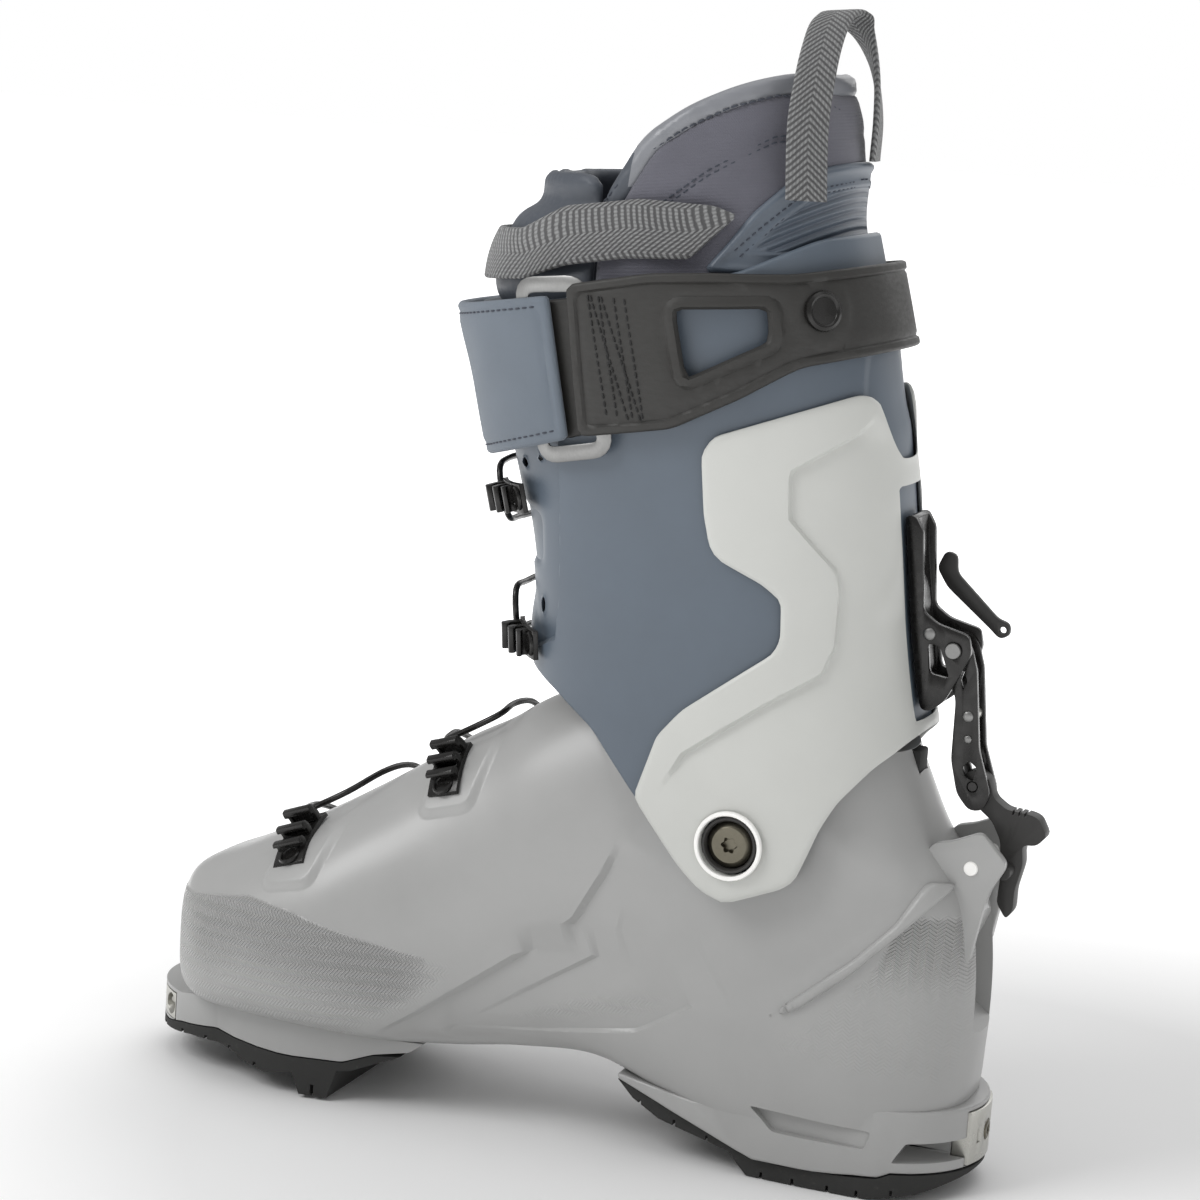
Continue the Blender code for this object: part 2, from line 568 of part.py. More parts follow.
def loft(name, rows, steps, around, look=None, origin=None, capped=True):
    """A skin through the sections, closed at both ends when capped."""
    work = bmesh.new()
    rings = [[work.verts.new(p) for p in section(row, around)] for row in smooth_rows(rows, steps)]
    for low, high in zip(rings, rings[1:]):
        for k in range(around):
            following = (k + 1) % around
            work.faces.new((low[k], low[following], high[following], high[k]))
    if capped:
        work.faces.new(reversed(rings[0]))
        work.faces.new(rings[-1])
        return place(name, mesh_of(work, name), look, origin)
    mesh = bpy.data.meshes.new(name)
    work.to_mesh(mesh)
    work.free()
    return place(name, mesh, look, origin)


def combine(target, other, operation="DIFFERENCE"):
    change = target.modifiers.new(other.name, "BOOLEAN")
    change.operation = operation
    change.object = other
    change.solver = "EXACT"
    return target


def panel(name, rows, lift, thickness, outline, look, density, origin=None):
    """A curved wall lying over the rows' skin, trimmed to a side-view outline."""
    steps, around = density
    made = loft(name, grown(rows, lift), steps, around, look, origin, capped=False)
    wall = made.modifiers.new("wall", "SOLIDIFY")
    wall.thickness = thickness * MM
    wall.offset = 1.0
    wall.use_even_offset = True
    return combine(made, slab(name + "_outline", outline, (-WIDE, WIDE)), "INTERSECT")


def region_over(line, amount, top):
    """Closed side-view outline of everything over a line moved up by amount."""
    return [(x, z + amount) for x, z in line] + [(line[-1][0], top), (line[0][0], top)]


def box_outline(limits, grow):
    low_x, high_x, low_z, high_z = limits
    return [(low_x - grow, low_z - grow), (high_x + grow, low_z - grow),
            (high_x + grow, high_z + grow), (low_x - grow, high_z + grow)]


def sole_plan(sign, sides, radius=SOLE_END_R):
    """Plan outline with a round end; sides continue it as X and half width."""
    centre = sign * (SOLE_END_X - SOLE_END_R)
    turns = [math.radians(turn) for turn in (6, 24, 42, 60, 76, 90)]
    half = [(centre + sign * radius * math.cos(t), radius * math.sin(t)) for t in turns]
    half += list(sides)
    return [(x, -y) for x, y in half] + [(x, y) for x, y in reversed(half)]


def arc(centre, radius, turns):
    return [(centre[0] + radius * math.cos(math.radians(t)), centre[1] + radius * math.sin(math.radians(t)))
            for t in turns]


def build_lower_shell():
    shell = loft("lower_shell", SHELL_ROWS, 2, 24, "shell")
    ledge = slab("heel_ledge", sole_plan(1, HEEL_LEDGE_PLAN), HEEL_LEDGE_Z, axes="xyz")
    combine(shell, ledge, "UNION")
    for side, label in ((-1, "medial"), (1, "lateral")):
        boss_y = side * (BOSS_FACE_Y - 3.0)
        boss = rod("pivot_boss_" + label, (PIVOT[0], boss_y, PIVOT[1]), (0, 1, 0), PIVOT_BOSS_R, 6.0, 20)
        combine(shell, boss, "UNION")
        ends = sorted((side * EAR_Y[0], side * EAR_Y[1]))
        combine(shell, slab("spine_ear_" + label, EAR_OUTLINE, ends), "UNION")
    combine(shell, loft("shell_cavity", cavity_rows(0.0) + [mouth_row(0.0)], 1, 18))
    combine(shell, rod("lock_pin_hole", (LOCK_PIN[0], 0, LOCK_PIN[1]), (0, 1, 0), LOCK_PIN_R + GAP, 60.0, 12))
    low = arc(PIVOT, CHANNEL_R, CHANNEL_TURNS)
    high = arc(PIVOT, 2 * CHANNEL_R, reversed(CHANNEL_TURNS))
    combine(shell, slab("latch_channel", low + high, (-CHANNEL_HALF, CHANNEL_HALF)))
    pocket = (-BUMPER_HALF - GAP, BUMPER_HALF + GAP)
    combine(shell, slab("bumper_pocket", box_outline(BUMPER, GAP), pocket))
    slot = (-HEEL_INSERT_HALF - GAP, HEEL_INSERT_HALF + GAP)
    combine(shell, slab("heel_insert_slot", box_outline(HEEL_INSERT, GAP), slot))


def build_sole():
    front = slab("sole_front", FRONT_SOLE_SIDE, (-WIDE, WIDE), "shell")
    plan = slab("front_plan", sole_plan(-1, FRONT_SOLE_PLAN), (-5, 60), axes="xyz")
    combine(front, plan, "INTERSECT")
    combine(front, slab("toe_insert_slot", box_outline(TOE_INSERT, GAP), (-WIDE, WIDE)))
    insert = slab("toe_insert", box_outline(TOE_INSERT, 0), (-WIDE, WIDE), "steel")
    combine(insert, plan, "INTERSECT")
    tread = slab("tread_front", FRONT_TREAD_SIDE, (-WIDE, WIDE), "rubber")
    combine(tread, plan, "INTERSECT")
    heel = slab("tread_heel", HEEL_TREAD_SIDE, (-WIDE, WIDE), "rubber")
    heel_plan = slab("heel_plan", sole_plan(1, HEEL_SOLE_PLAN), (-5, 60), axes="xyz")
    combine(heel, heel_plan, "INTERSECT")
    plate = slab("heel_insert", box_outline(HEEL_INSERT, 0), (-HEEL_INSERT_HALF, HEEL_INSERT_HALF), "steel")
    back_plan = slab("insert_plan", sole_plan(1, HEEL_LEDGE_PLAN, SOLE_END_R + 0.8), (-5, 60), axes="xyz")
    combine(plate, back_plan, "INTERSECT")
    middle = (HEEL_INSERT[2] + HEEL_INSERT[3]) / 2
    hole = rod("heel_screw_hole", (150.0, 0, middle), (1, 0, 0), HEEL_SCREW_R + GAP, 9.0, 12)
    combine(plate, hole)
    rod("heel_insert_screw", (149.2, 0, middle), (1, 0, 0), HEEL_SCREW_R, 5.6, 12, "bronze")


def build_spine():
    slab("spine_bumper", box_outline(BUMPER, 0), (-BUMPER_HALF, BUMPER_HALF), "rubber")
    for side, label in ((-1, "medial"), (1, "lateral")):
        inner, outer = LOCK_PIN_Y
        rod("lock_pin_" + label, (LOCK_PIN[0], side * (inner + outer) / 2, LOCK_PIN[1]), (0, 1, 0),
            LOCK_PIN_R, outer - inner, 12, "white_plastic")


def build_pivots():
    for side, label in ((-1, "medial"), (1, "lateral")):
        middle = side * sum(BUSHING_Y) / 2
        thick = BUSHING_Y[1] - BUSHING_Y[0]
        centre = (PIVOT[0], middle, PIVOT[1])
        bushing = rod("pivot_bushing_" + label, centre, (0, 1, 0), BUSHING_R, thick, 20, "black_plastic")
        combine(bushing, rod("bushing_bore_" + label, centre, (0, 1, 0), PIVOT_BOLT_R + GAP, 20.0, 16))
        bolt = rod("pivot_bolt_" + label, centre, (0, 1, 0), PIVOT_BOLT_R, thick, 16, "bronze")
        socket_at = (PIVOT[0], side * BUSHING_Y[1], PIVOT[1])
        socket = rod("bolt_socket_" + label, socket_at, (0, 1, 0), BOLT_SOCKET_R, 4.0, 6)
        combine(bolt, socket)
        ring_y = side * sum(PIVOT_RING_Y) / 2
        ring_at = (PIVOT[0], ring_y, PIVOT[1])
        ring = rod("pivot_ring_" + label, ring_at, (0, 1, 0), PIVOT_RING_R[0],
                   PIVOT_RING_Y[1] - PIVOT_RING_Y[0], 24, "white_plastic")
        combine(ring, rod("ring_bore_" + label, ring_at, (0, 1, 0), PIVOT_RING_R[1], 8.0, 24))


def build_cuff():
    pivot = (PIVOT[0], 0.0, PIVOT[1])
    cuff = panel("cuff", CUFF_ROWS, -CUFF_WALL, CUFF_WALL, CUFF_OUTLINE, "cuff", (2, 24), pivot)
    combine(cuff, slab("crest_notch", CREST_NOTCH, (-80, 20), axes="yzx"))
    bone = panel("backbone", CUFF_ROWS, GAP, BACKBONE_WALL, BACKBONE_OUTLINE, "backbone", (2, 24), pivot)
    window = (-BACKBONE_WINDOW_HALF, BACKBONE_WINDOW_HALF)
    combine(bone, slab("backbone_window", box_outline(BACKBONE_WINDOW, 0), window))
    hole = rod("cuff_pivot_hole", (PIVOT[0], 0, PIVOT[1]), (0, 1, 0), CUFF_HOLE_R, 140.0, 20)
    combine(cuff, hole)
    combine(bone, hole)


def build_lock():
    bracket = slab("lock_bracket", BRACKET_OUTLINE, (-BRACKET_HALF, BRACKET_HALF), "black_alloy")
    combine(bracket, slab("bracket_slot", BRACKET_SLOT, (-BRACKET_SLOT_HALF, BRACKET_SLOT_HALF)))
    origin = (LINK_PIVOT[0], 0.0, LINK_PIVOT[1])
    combine(bracket, rod("link_pin_hole", origin, (0, 1, 0), LINK_PIN_R + GAP, 40.0, 10))
    rod("link_pin", origin, (0, 1, 0), LINK_PIN_R, LINK_PIN_LENGTH, 10, "steel")
    for side, label in ((-1, "medial"), (1, "lateral")):
        ends = sorted((side * LINK_Y[0], side * LINK_Y[1]))
        link = slab("link_" + label, LINK_OUTLINE, ends, "black_alloy", origin=origin)
        combine(link, rod("link_hole_" + label, origin, (0, 1, 0), LINK_PIN_R + GAP, 40.0, 10))
        combine(link, rod("latch_hole_" + label, (LATCH_PIVOT[0], 0, LATCH_PIVOT[1]), (0, 1, 0),
                          TRUNNION_R + GAP, 40.0, 8))
    rod("link_spacer", (LINK_SPACER[0], 0, LINK_SPACER[1]), (0, 1, 0), LINK_SPACER_R,
        2 * (LINK_Y[0] - SPACER_GAP), 10, "steel", origin)
    latch = slab("latch_lever", LATCH_OUTLINE, (-LATCH_HALF, LATCH_HALF), "black_plastic",
                 origin=(LATCH_PIVOT[0], 0.0, LATCH_PIVOT[1]))
    bar = rod("latch_bar", (LATCH_BAR[0], 0, LATCH_BAR[1]), (0, 1, 0), LATCH_BAR_R, LATCH_BAR_LENGTH, 10)
    combine(latch, bar, "UNION")
    trunnion = rod("latch_trunnion", (LATCH_PIVOT[0], 0, LATCH_PIVOT[1]), (0, 1, 0), TRUNNION_R,
                   TRUNNION_LENGTH, 8)
    combine(latch, trunnion, "UNION")
    slab("release_arm", RELEASE_OUTLINE, (BRACKET_HALF + GAP, BRACKET_HALF + GAP + RELEASE_WALL),
         "black_plastic")


def build_strap():
    strap = panel("power_strap", CUFF_ROWS, STRAP_LIFT, STRAP_WALL, STRAP_OUTLINE, "black_plastic", (2, 24))
    combine(strap, slab("strap_window", STRAP_WINDOW, (-WIDE, WIDE)))
    panel("strap_sleeve", CUFF_ROWS, STRAP_LIFT, SLEEVE_WALL, SLEEVE_OUTLINE, "sleeve_fabric", (2, 24))
    ring_rows = grown(CUFF_ROWS, RING_LIFT)
    path = []
    for (ax, az), (bx, bz) in zip(RING_CORNERS, RING_CORNERS[1:] + RING_CORNERS[:1]):
        for share in RING_SHARES:
            x, z = ax + (bx - ax) * share, az + (bz - az) * share
            path.append((x, -side_y(ring_rows, x, z), z))
    wire("strap_ring", path[:-1] + [path[0]], RING_WIRE_R, "steel", path[0])
    for label, angle in BUTTON_ANGLES.items():
        spot, _, normal, _ = frame_on(CUFF_ROWS, BUTTON_INDEX, angle)
        rod("strap_button_" + label, spot + normal * BUTTON_LIFT, normal, BUTTON_R, BUTTON_THICK, 16,
            "black_alloy")


def build_liner():
    board = loft("boot_board", cavity_rows(BOARD_GAP), 1, 18, "board")
    under = region_over(BOARD_LINE, -GAP, -20)
    combine(board, slab("board_region", under, (-WIDE, WIDE)), "INTERSECT")
    foot = loft("liner_foot", cavity_rows(FOOT_GAP), 1, 18, "liner_fabric")
    above = region_over(BOARD_LINE, FOOT_RISE, LINER_TOP)
    combine(foot, slab("foot_region", above, (-WIDE, WIDE)), "INTERSECT")
    hollow = FOOT_GAP + LINER_WALL
    inside = loft("foot_space", cavity_rows(hollow) + [mouth_row(hollow)], 1, 16)
    space = region_over(BOARD_LINE, SPACE_RISE, LINER_TOP)
    combine(inside, slab("space_region", space, (-WIDE, WIDE)), "INTERSECT")
    combine(foot, inside)
    insole = loft("footbed", cavity_rows(hollow + FOOT_GAP), 1, 14, "foam")
    low, high = FOOTBED_RISE
    band = [(x, z + low) for x, z in BOARD_LINE] + [(x, z + high) for x, z in reversed(BOARD_LINE)]
    combine(insole, slab("insole_region", band, (-WIDE, WIDE)), "INTERSECT")
    inner = grown(LINER_ROWS, -LINER_WALL)
    panel("liner_upper", inner, 0, LINER_WALL, LINER_OUTLINE, "liner_fabric", (1, 24))
    front = grown(TONGUE_ROWS, -LINER_WALL)
    panel("liner_tongue", front, 0, LINER_WALL, TONGUE_OUTLINE, "liner_fabric", (1, 24))
    panel("liner_collar", LINER_ROWS, GAP, COLLAR_WALL, COLLAR_OUTLINE, "overlay", (1, 24))
    panel("tongue_webbing", TONGUE_ROWS, WEBBING_LIFT, WEBBING_WALL, WEBBING_OUTLINE, "webbing", (1, 24))
    ribbon("pull_loop", LOOP_STATIONS, LOOP_HALF, LOOP_WALL, "webbing")


def build_ladder(name):
    """A catch ladder with three teeth along a line on the medial side."""
    rows, start, end, half = LADDERS[name]
    spots = []
    for k in range(7):
        x = start[0] + (end[0] - start[0]) * k / 6
        z = start[1] + (end[1] - start[1]) * k / 6
        spots.append(Vector((x, -side_y(rows, x, z), z)))
    first = (spots[-1] - spots[0]).normalized()
    middle = medial_normal(rows, spots[3].x, spots[3].z)
    second = (middle - first * middle.dot(first)).normalized()
    third = first.cross(second).normalized()
    path = [((p - spots[0]).dot(first), (p - spots[0]).dot(second)) for p in spots]
    low = [(a, b + LADDER_LIFT) for a, b in path]
    high = []
    for k, (a, b) in enumerate(path):
        if k < 2:
            high.append((a, b + LADDER_TOP))
        else:
            high.append((a - TOOTH_FOOT, b + LADDER_TOP))
            high.append((a + TOOTH_TIP, b + TOOTH_TOP))
            high.append((a + TOOTH_FOOT, b + LADDER_TOP))
    base = (spots[0], first, second, third)
    slab(name + "_ladder", low + high[::-1], (-half, half), "black_alloy", frame=base)


def build_buckle(name):
    """Base with two ears, hinge pin, lever and wire bail on the lateral side."""
    rows, index, hinge_angle, hook_angle, spread_hook, spread_mid, length = BUCKLES[name]
    spot, along, normal, upward = frame_on(rows, index, hinge_angle)
    hinge = spot + normal * HINGE_LIFT
    base_frame = (spot, upward, normal, along)
    base = slab(name + "_base", BASE_SIDE, (-EAR_U[1], EAR_U[1]), "black_alloy", frame=base_frame)
    for side, label in ((-1, "a"), (1, "b")):
        ends = sorted((side * EAR_U[0], side * EAR_U[1]))
        combine(base, slab(f"{name}_ear_{label}", EAR_SIDE, ends, frame=base_frame), "UNION")
    combine(base, rod(name + "_ear_hole", hinge, along, HINGE_PIN_R + GAP, 40.0, 10))
    rod(name + "_pin", hinge, along, HINGE_PIN_R, 2 * (EAR_U[1] + PIN_OVERHANG), 10, "steel")
    grip = [(-length, 5.2), (-length - 2, 7.0), (-length, 8.8)]
    handle = [*HANDLE_UNDER, *grip, *HANDLE_OVER]
    lever = slab(name + "_lever", handle, (-LEVER_HALF, LEVER_HALF), "black_alloy", origin=hinge,
                 frame=base_frame)
    combine(lever, rod(name + "_lever_hole", hinge, along, HINGE_PIN_R + GAP, 40.0, 10))
    attach = spot - upward * ATTACH_BACK + normal * ATTACH_LIFT
    points = []
    for side in (-1, 1):
        wing = along * (side * (EAR_U[1] + BAIL_R + BAIL_CLEAR))
        one = [attach + along * (side * (LEVER_HALF + BAIL_R + 2 * GAP)),
               attach + wing + upward * BAIL_START,
               spot + wing + upward * BAIL_PAST_BASE + normal * (BAIL_LIFT + BAIL_EXTRA_LIFT)]
        for k in range(1, BAIL_STATIONS + 1):
            share = k / BAIL_STATIONS
            angle = hinge_angle + BAIL_FIRST_ANGLE + (360 - BAIL_FIRST_ANGLE + hook_angle - hinge_angle) * share
            swell = math.sin(math.pi * share) ** BAIL_SPREAD_POWER
            spread = spread_hook + (spread_mid - spread_hook) * swell
            one.append(place_on(rows, index + side * spread, angle % 360, BAIL_LIFT))
        points.append(one)
    wire(name + "_bail", points[0] + points[1][::-1], BAIL_R, "black_alloy", attach)


clear_scene()
parts = collection("ski_touring_boot", False)
cutters = collection("cutters", True)
build_lower_shell()
build_sole()
build_spine()
build_pivots()
build_cuff()
build_lock()
build_strap()
build_liner()
for buckle in BUCKLES:
    build_ladder(buckle)
    build_buckle(buckle)
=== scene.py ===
"""Looks of the ski-touring boot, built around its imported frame.

Skins are drawn in boot millimetres: X runs from the toe (-X) to the heel (+X), Z is up and -Y is
the inner side. world() turns them into the frame's metres, whose origin is the heel tread's centre.
"""

import json
import math

import bmesh
import bpy
import numpy as np
from mathutils import Matrix, Vector

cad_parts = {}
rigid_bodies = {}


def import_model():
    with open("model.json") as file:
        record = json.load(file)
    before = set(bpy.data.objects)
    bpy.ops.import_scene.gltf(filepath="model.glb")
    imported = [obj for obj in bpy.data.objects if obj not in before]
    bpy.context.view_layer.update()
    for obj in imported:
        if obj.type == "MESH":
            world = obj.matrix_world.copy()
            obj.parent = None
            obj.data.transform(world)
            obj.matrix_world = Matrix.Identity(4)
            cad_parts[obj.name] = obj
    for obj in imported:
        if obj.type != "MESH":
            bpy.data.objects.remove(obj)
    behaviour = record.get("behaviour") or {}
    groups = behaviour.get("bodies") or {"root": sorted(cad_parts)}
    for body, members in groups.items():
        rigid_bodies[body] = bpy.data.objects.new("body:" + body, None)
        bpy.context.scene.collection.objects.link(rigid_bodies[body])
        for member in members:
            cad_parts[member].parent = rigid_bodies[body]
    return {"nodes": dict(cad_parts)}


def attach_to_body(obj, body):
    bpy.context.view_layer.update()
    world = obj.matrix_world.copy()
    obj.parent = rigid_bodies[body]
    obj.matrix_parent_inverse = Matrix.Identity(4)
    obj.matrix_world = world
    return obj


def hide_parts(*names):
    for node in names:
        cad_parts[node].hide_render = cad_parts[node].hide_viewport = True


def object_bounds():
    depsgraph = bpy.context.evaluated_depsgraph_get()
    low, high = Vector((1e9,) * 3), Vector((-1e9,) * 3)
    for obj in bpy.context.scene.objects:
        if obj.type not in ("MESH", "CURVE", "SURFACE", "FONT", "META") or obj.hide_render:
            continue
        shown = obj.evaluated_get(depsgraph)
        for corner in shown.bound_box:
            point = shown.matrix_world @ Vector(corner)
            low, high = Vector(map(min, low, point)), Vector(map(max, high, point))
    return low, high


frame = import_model()
cad_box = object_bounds()

MM = 0.001
TREAD = np.array((100.0, 0.0, 2.5))     # boot millimetres of the frame's origin
SIDES = ((-1, "medial"), (1, "lateral"))

# Sections: top X, top Z, low X, low Z, half width, centre Y, widest share, upper and lower squareness.
SHELL_ROWS = (
    (-139.6, 62.0, -139.4, 46.0, 10.0, -5.0, 0.50, 2.4, 2.2),
    (-138.4, 68.5, -138.0, 37.0, 16.5, -5.0, 0.50, 2.8, 2.4),
    (-135.6, 72.5, -135.2, 31.5, 24.0, -4.5, 0.50, 3.2, 2.8),
    (-130.0, 76.0, -130.0, 28.8, 33.5, -4.0, 0.54, 3.0, 4.0),
    (-118.0, 81.5, -118.0, 28.2, 43.5, -3.0, 0.60, 2.6, 5.0),
    (-99.0, 91.5, -98.0, 27.6, 49.5, -2.0, 0.62, 2.2, 5.0),
    (-78.0, 104.0, -76.0, 26.5, 50.5, -1.5, 0.64, 2.1, 5.0),
    (-58.0, 117.0, -53.0, 24.5, 47.0, -1.0, 0.66, 2.1, 4.5),
    (-41.0, 129.0, -29.0, 25.5, 43.5, -0.5, 0.66, 2.1, 4.0),
    (-26.0, 137.5, -5.0, 28.5, 41.5, 0.0, 0.62, 2.2, 4.0),
    (-14.5, 145.5, 22.0, 29.5, 40.5, 0.0, 0.58, 2.3, 4.0),
    (-4.0, 151.0, 48.0, 21.5, 40.0, 0.0, 0.55, 2.4, 4.5),
    (5.0, 155.0, 82.0, 9.6, 39.5, 0.0, 0.52, 2.5, 5.0),
    (8.0, 155.7, 103.0, 9.8, 39.2, 0.0, 0.51, 2.5, 5.0),
    (11.0, 156.2, 124.0, 10.6, 39.0, 0.0, 0.50, 2.6, 4.5),
    (13.0, 156.8, 143.0, 24.0, 38.5, 0.0, 0.49, 2.6, 3.2),
    (15.0, 157.2, 147.5, 50.0, 38.5, 0.0, 0.48, 2.6, 2.5),
    (17.0, 157.5, 147.5, 78.0, 38.5, 0.0, 0.48, 2.6, 2.3),
    (18.5, 157.8, 143.0, 101.0, 39.0, 0.0, 0.48, 2.6, 2.2),
    (20.0, 158.0, 130.0, 119.0, 39.0, 0.0, 0.48, 2.6, 2.2),
    (21.0, 158.2, 121.0, 137.0, 38.2, 0.0, 0.48, 2.6, 2.2),
    (22.0, 158.5, 116.5, 147.5, 36.8, 0.0, 0.48, 2.6, 2.2),
)
SIDE_WALL = 4.5
LOW_WALL = (4, 4, 4, 4, 4, 4, 4, 4, 4.2, 4.5, 5, 8, 14, 16, 17, 18, 17, 16, 14, 9, 9, 7)
TOE_SHIFT = (1, 1, 0.9, 0.6, 0.3) + (0,) * 17
CUFF_ROWS = (
    (6.0, 92.0, 134.0, 90.0, 46.5, 0.0, 0.50, 2.8, 2.6),
    (-3.0, 122.0, 130.0, 116.0, 47.0, 0.0, 0.50, 2.7, 2.5),
    (-10.0, 146.0, 124.0, 138.0, 47.5, 0.0, 0.50, 2.6, 2.4),
    (-15.0, 160.0, 119.5, 153.0, 48.0, 0.0, 0.50, 2.6, 2.4),
    (-18.0, 175.0, 115.5, 170.0, 48.5, 0.0, 0.50, 2.5, 2.4),
    (-20.0, 192.0, 112.0, 190.0, 49.0, 0.0, 0.50, 2.5, 2.4),
    (-24.0, 210.0, 109.0, 212.0, 49.5, 0.0, 0.50, 2.4, 2.4),
    (-31.0, 235.0, 105.5, 238.0, 51.0, 0.0, 0.50, 2.4, 2.3),
    (-38.0, 260.0, 100.5, 263.0, 53.0, 0.0, 0.50, 2.3, 2.3),
    (-45.0, 283.0, 93.5, 290.0, 54.5, 0.0, 0.50, 2.3, 2.3),
    (-50.0, 301.0, 85.5, 318.0, 55.5, 0.0, 0.50, 2.3, 2.3),
)
LINER_ROWS = (
    (-10.0, 180.0, 107.5, 161.0, 43.0, 0.0, 0.50, 2.4, 2.4),
    (-14.5, 193.0, 106.0, 189.0, 43.8, 0.0, 0.50, 2.4, 2.4),
    (-18.5, 210.0, 103.5, 212.0, 44.5, 0.0, 0.50, 2.4, 2.4),
    (-25.5, 235.0, 100.0, 238.0, 46.0, 0.0, 0.50, 2.4, 2.3),
    (-32.5, 260.0, 95.0, 263.0, 47.8, 0.0, 0.50, 2.3, 2.3),
    (-38.5, 283.0, 87.5, 290.0, 48.8, 0.0, 0.50, 2.3, 2.3),
    (-40.0, 300.0, 80.2, 315.0, 47.5, 0.0, 0.50, 2.3, 2.3),
    (-37.0, 320.0, 80.0, 336.0, 45.5, 0.0, 0.50, 2.3, 2.3),
    (-31.0, 345.0, 76.0, 356.0, 43.5, 0.0, 0.50, 2.3, 2.3),
    (-27.0, 368.0, 72.0, 374.0, 42.0, 0.0, 0.50, 2.3, 2.3),
)
# The tongue leans back above the strap, away from the liner's own front.
TONGUE_ROWS = LINER_ROWS[:6] + (
    (-36.5, 300.0, 80.2, 315.0, 47.5, 0.0, 0.50, 2.3, 2.3),
    (-24.0, 320.0, 80.0, 336.0, 45.5, 0.0, 0.50, 2.3, 2.3),
    (-15.0, 345.0, 76.0, 356.0, 43.5, 0.0, 0.50, 2.3, 2.3),
)

# Axes and fixed places, as X and Z.
PIVOT = (70.0, 117.3)
LINK_PIVOT = (128.0, 182.5)
LATCH_PIVOT = (137.5, 138.0)
LOCK_PIN = (142.0, 113.5)
CUFF_HOLE_R = 9.8

CUFF_OUTLINE = (
    (-80, 161), (-9, 161), (1, 157), (17, 147), (26, 136.8), (34.8, 127), (44, 119.5),
    (53.5, 109.5), (61, 103.5), (70, 101), (86, 107.5), (91, 111.5), (96, 126.5), (100.5, 136),
    (109, 147), (117, 154.5), (150, 158), (150, 316), (104, 315.5), (89, 314.5), (80, 312.5),
    (70, 307), (59, 301), (45, 297), (0, 287), (-30, 281), (-80, 279),
)
BACKBONE_OUTLINE = (
    (51.6, 243), (54.8, 248.6), (94.1, 264), (97.5, 262), (104.7, 241.3), (106.2, 242.5),
    (102.6, 264.5), (102.6, 279), (140, 279), (140, 160), (121, 156), (117.9, 153.4),
    (113.4, 148.4), (110.1, 145.4), (101.6, 134.2), (97.5, 125.5), (94.6, 116.5), (91.6, 108.2),
    (88, 105.1), (70.2, 97.8), (67.1, 98), (60.4, 100.9), (53, 107.4), (44.5, 117.5),
    (38.7, 124.5), (35.9, 128.1), (42.8, 149.7), (50.5, 159.1), (78.3, 180.8), (80.1, 185.5),
    (79.3, 198), (73.1, 202.9), (59, 209.5), (56.1, 213.1), (53.5, 223.5), (51.8, 239.7),
)
BACKBONE_WINDOW_HALF = 13.0
BACKBONE_STEP = (
    (97.5, 258), (94, 251.4), (77.7, 239.4), (78.9, 224.2), (93.3, 207.8), (94.6, 201.8), (94.9, 183.8),
    (92.2, 175.4), (76.5, 164.4), (51.4, 145.3), (44, 131),
)
BACKBONE_REAR = ((105.9, 221.8), (106.7, 207.5), (104.9, 199.8), (104, 190))
STRAP_OUTLINE = (
    (7.4, 293), (32, 298.6), (50, 300), (72, 300.6), (94, 304.4), (120, 306), (120, 275),
    (101, 277.6), (77.5, 272), (62.4, 261.6), (42.5, 250.5), (14.2, 245),
)
STRAP_WINDOW = ((40.8, 288), (66.8, 289.8), (68.3, 279.6), (45.8, 266.7))
SLEEVE_OUTLINE = ((-80, 277), (-31.8, 283.2), (-0.7, 288.8), (8, 243.3), (-27.3, 232.2), (-80, 222))
COLLAR_OUTLINE = (
    (45.5, 299.5), (52, 309), (58, 319), (69, 331.5), (78, 335.5), (90, 339), (110, 340), (110, 299.5),
)
WEBBING_OUTLINE = (
    (-80, 283.5), (-15, 291.5), (1, 297.5), (21, 301.5), (41.5, 303), (54, 318), (47, 320.5),
    (24, 320.5), (-1, 315.5), (-17, 306.5), (-80, 299),
)
LINER_OUTLINE = (
    (10, 140), (10, 319), (21, 340), (35, 351), (49, 358.5), (62, 363), (72, 362.5), (81, 356),
    (90, 348), (130, 340), (130, 140),
)
TONGUE_OUTLINE = (
    (-80, 140), (9.2, 140), (9.2, 323), (5, 327), (-5, 326), (-18, 324.5), (-80, 322),
)

# Lines on the shell's sides, as X and Z.
CREASE_A = ((-54.5, 30.3), (-39.6, 40.4), (-24.6, 51.6), (-2.8, 68), (14.2, 81.8), (22.9, 98.7), (28.5, 112))
CREASE_B = ((-30.2, 33.6), (-2, 53.9), (26.2, 72.7), (29.1, 76.6), (31.7, 91.6))
CREASE_C = ((-29.6, 33.3), (4.4, 38.2), (39.3, 46.1), (43.1, 48.2), (64.4, 62.2), (85.2, 75.5))
WING = ((76, 53.5), (97.2, 71), (111.1, 83), (122.2, 95), (132, 110))
TOE_WEAVE = ((-160, 66), (-127.9, 66.5), (-101.5, 71.4), (-83.7, 69.5), (-65.7, 65.2), (-44.9, 61.2),
             (-20.1, 57.8))
HEEL_WEAVE = ((85, 48), (115.8, 78), (119, 83.3), (123.8, 98), (145.2, 97), (152, 60), (140, 42))
PADS = (
    ((-97, 76), (-80, 80), (-73, 108), (-92, 104)),
    ((-45, 107), (-28, 112), (-24, 136), (-42, 134)),
)
EAR_OUTLINE = (
    (117, 108), (120, 118.5), (126, 116), (129, 120), (135, 121.5), (144, 125.5), (147, 123),
    (153, 117), (153, 114.5), (149, 107), (147, 100), (144, 82), (128, 84),
)
EAR_Y = (12.5, 16.5)


# ---------------------------------------------------------------- skins

def world(points):
    """Design millimetres to frame metres."""
    return (np.asarray(points, float) - TREAD) * MM


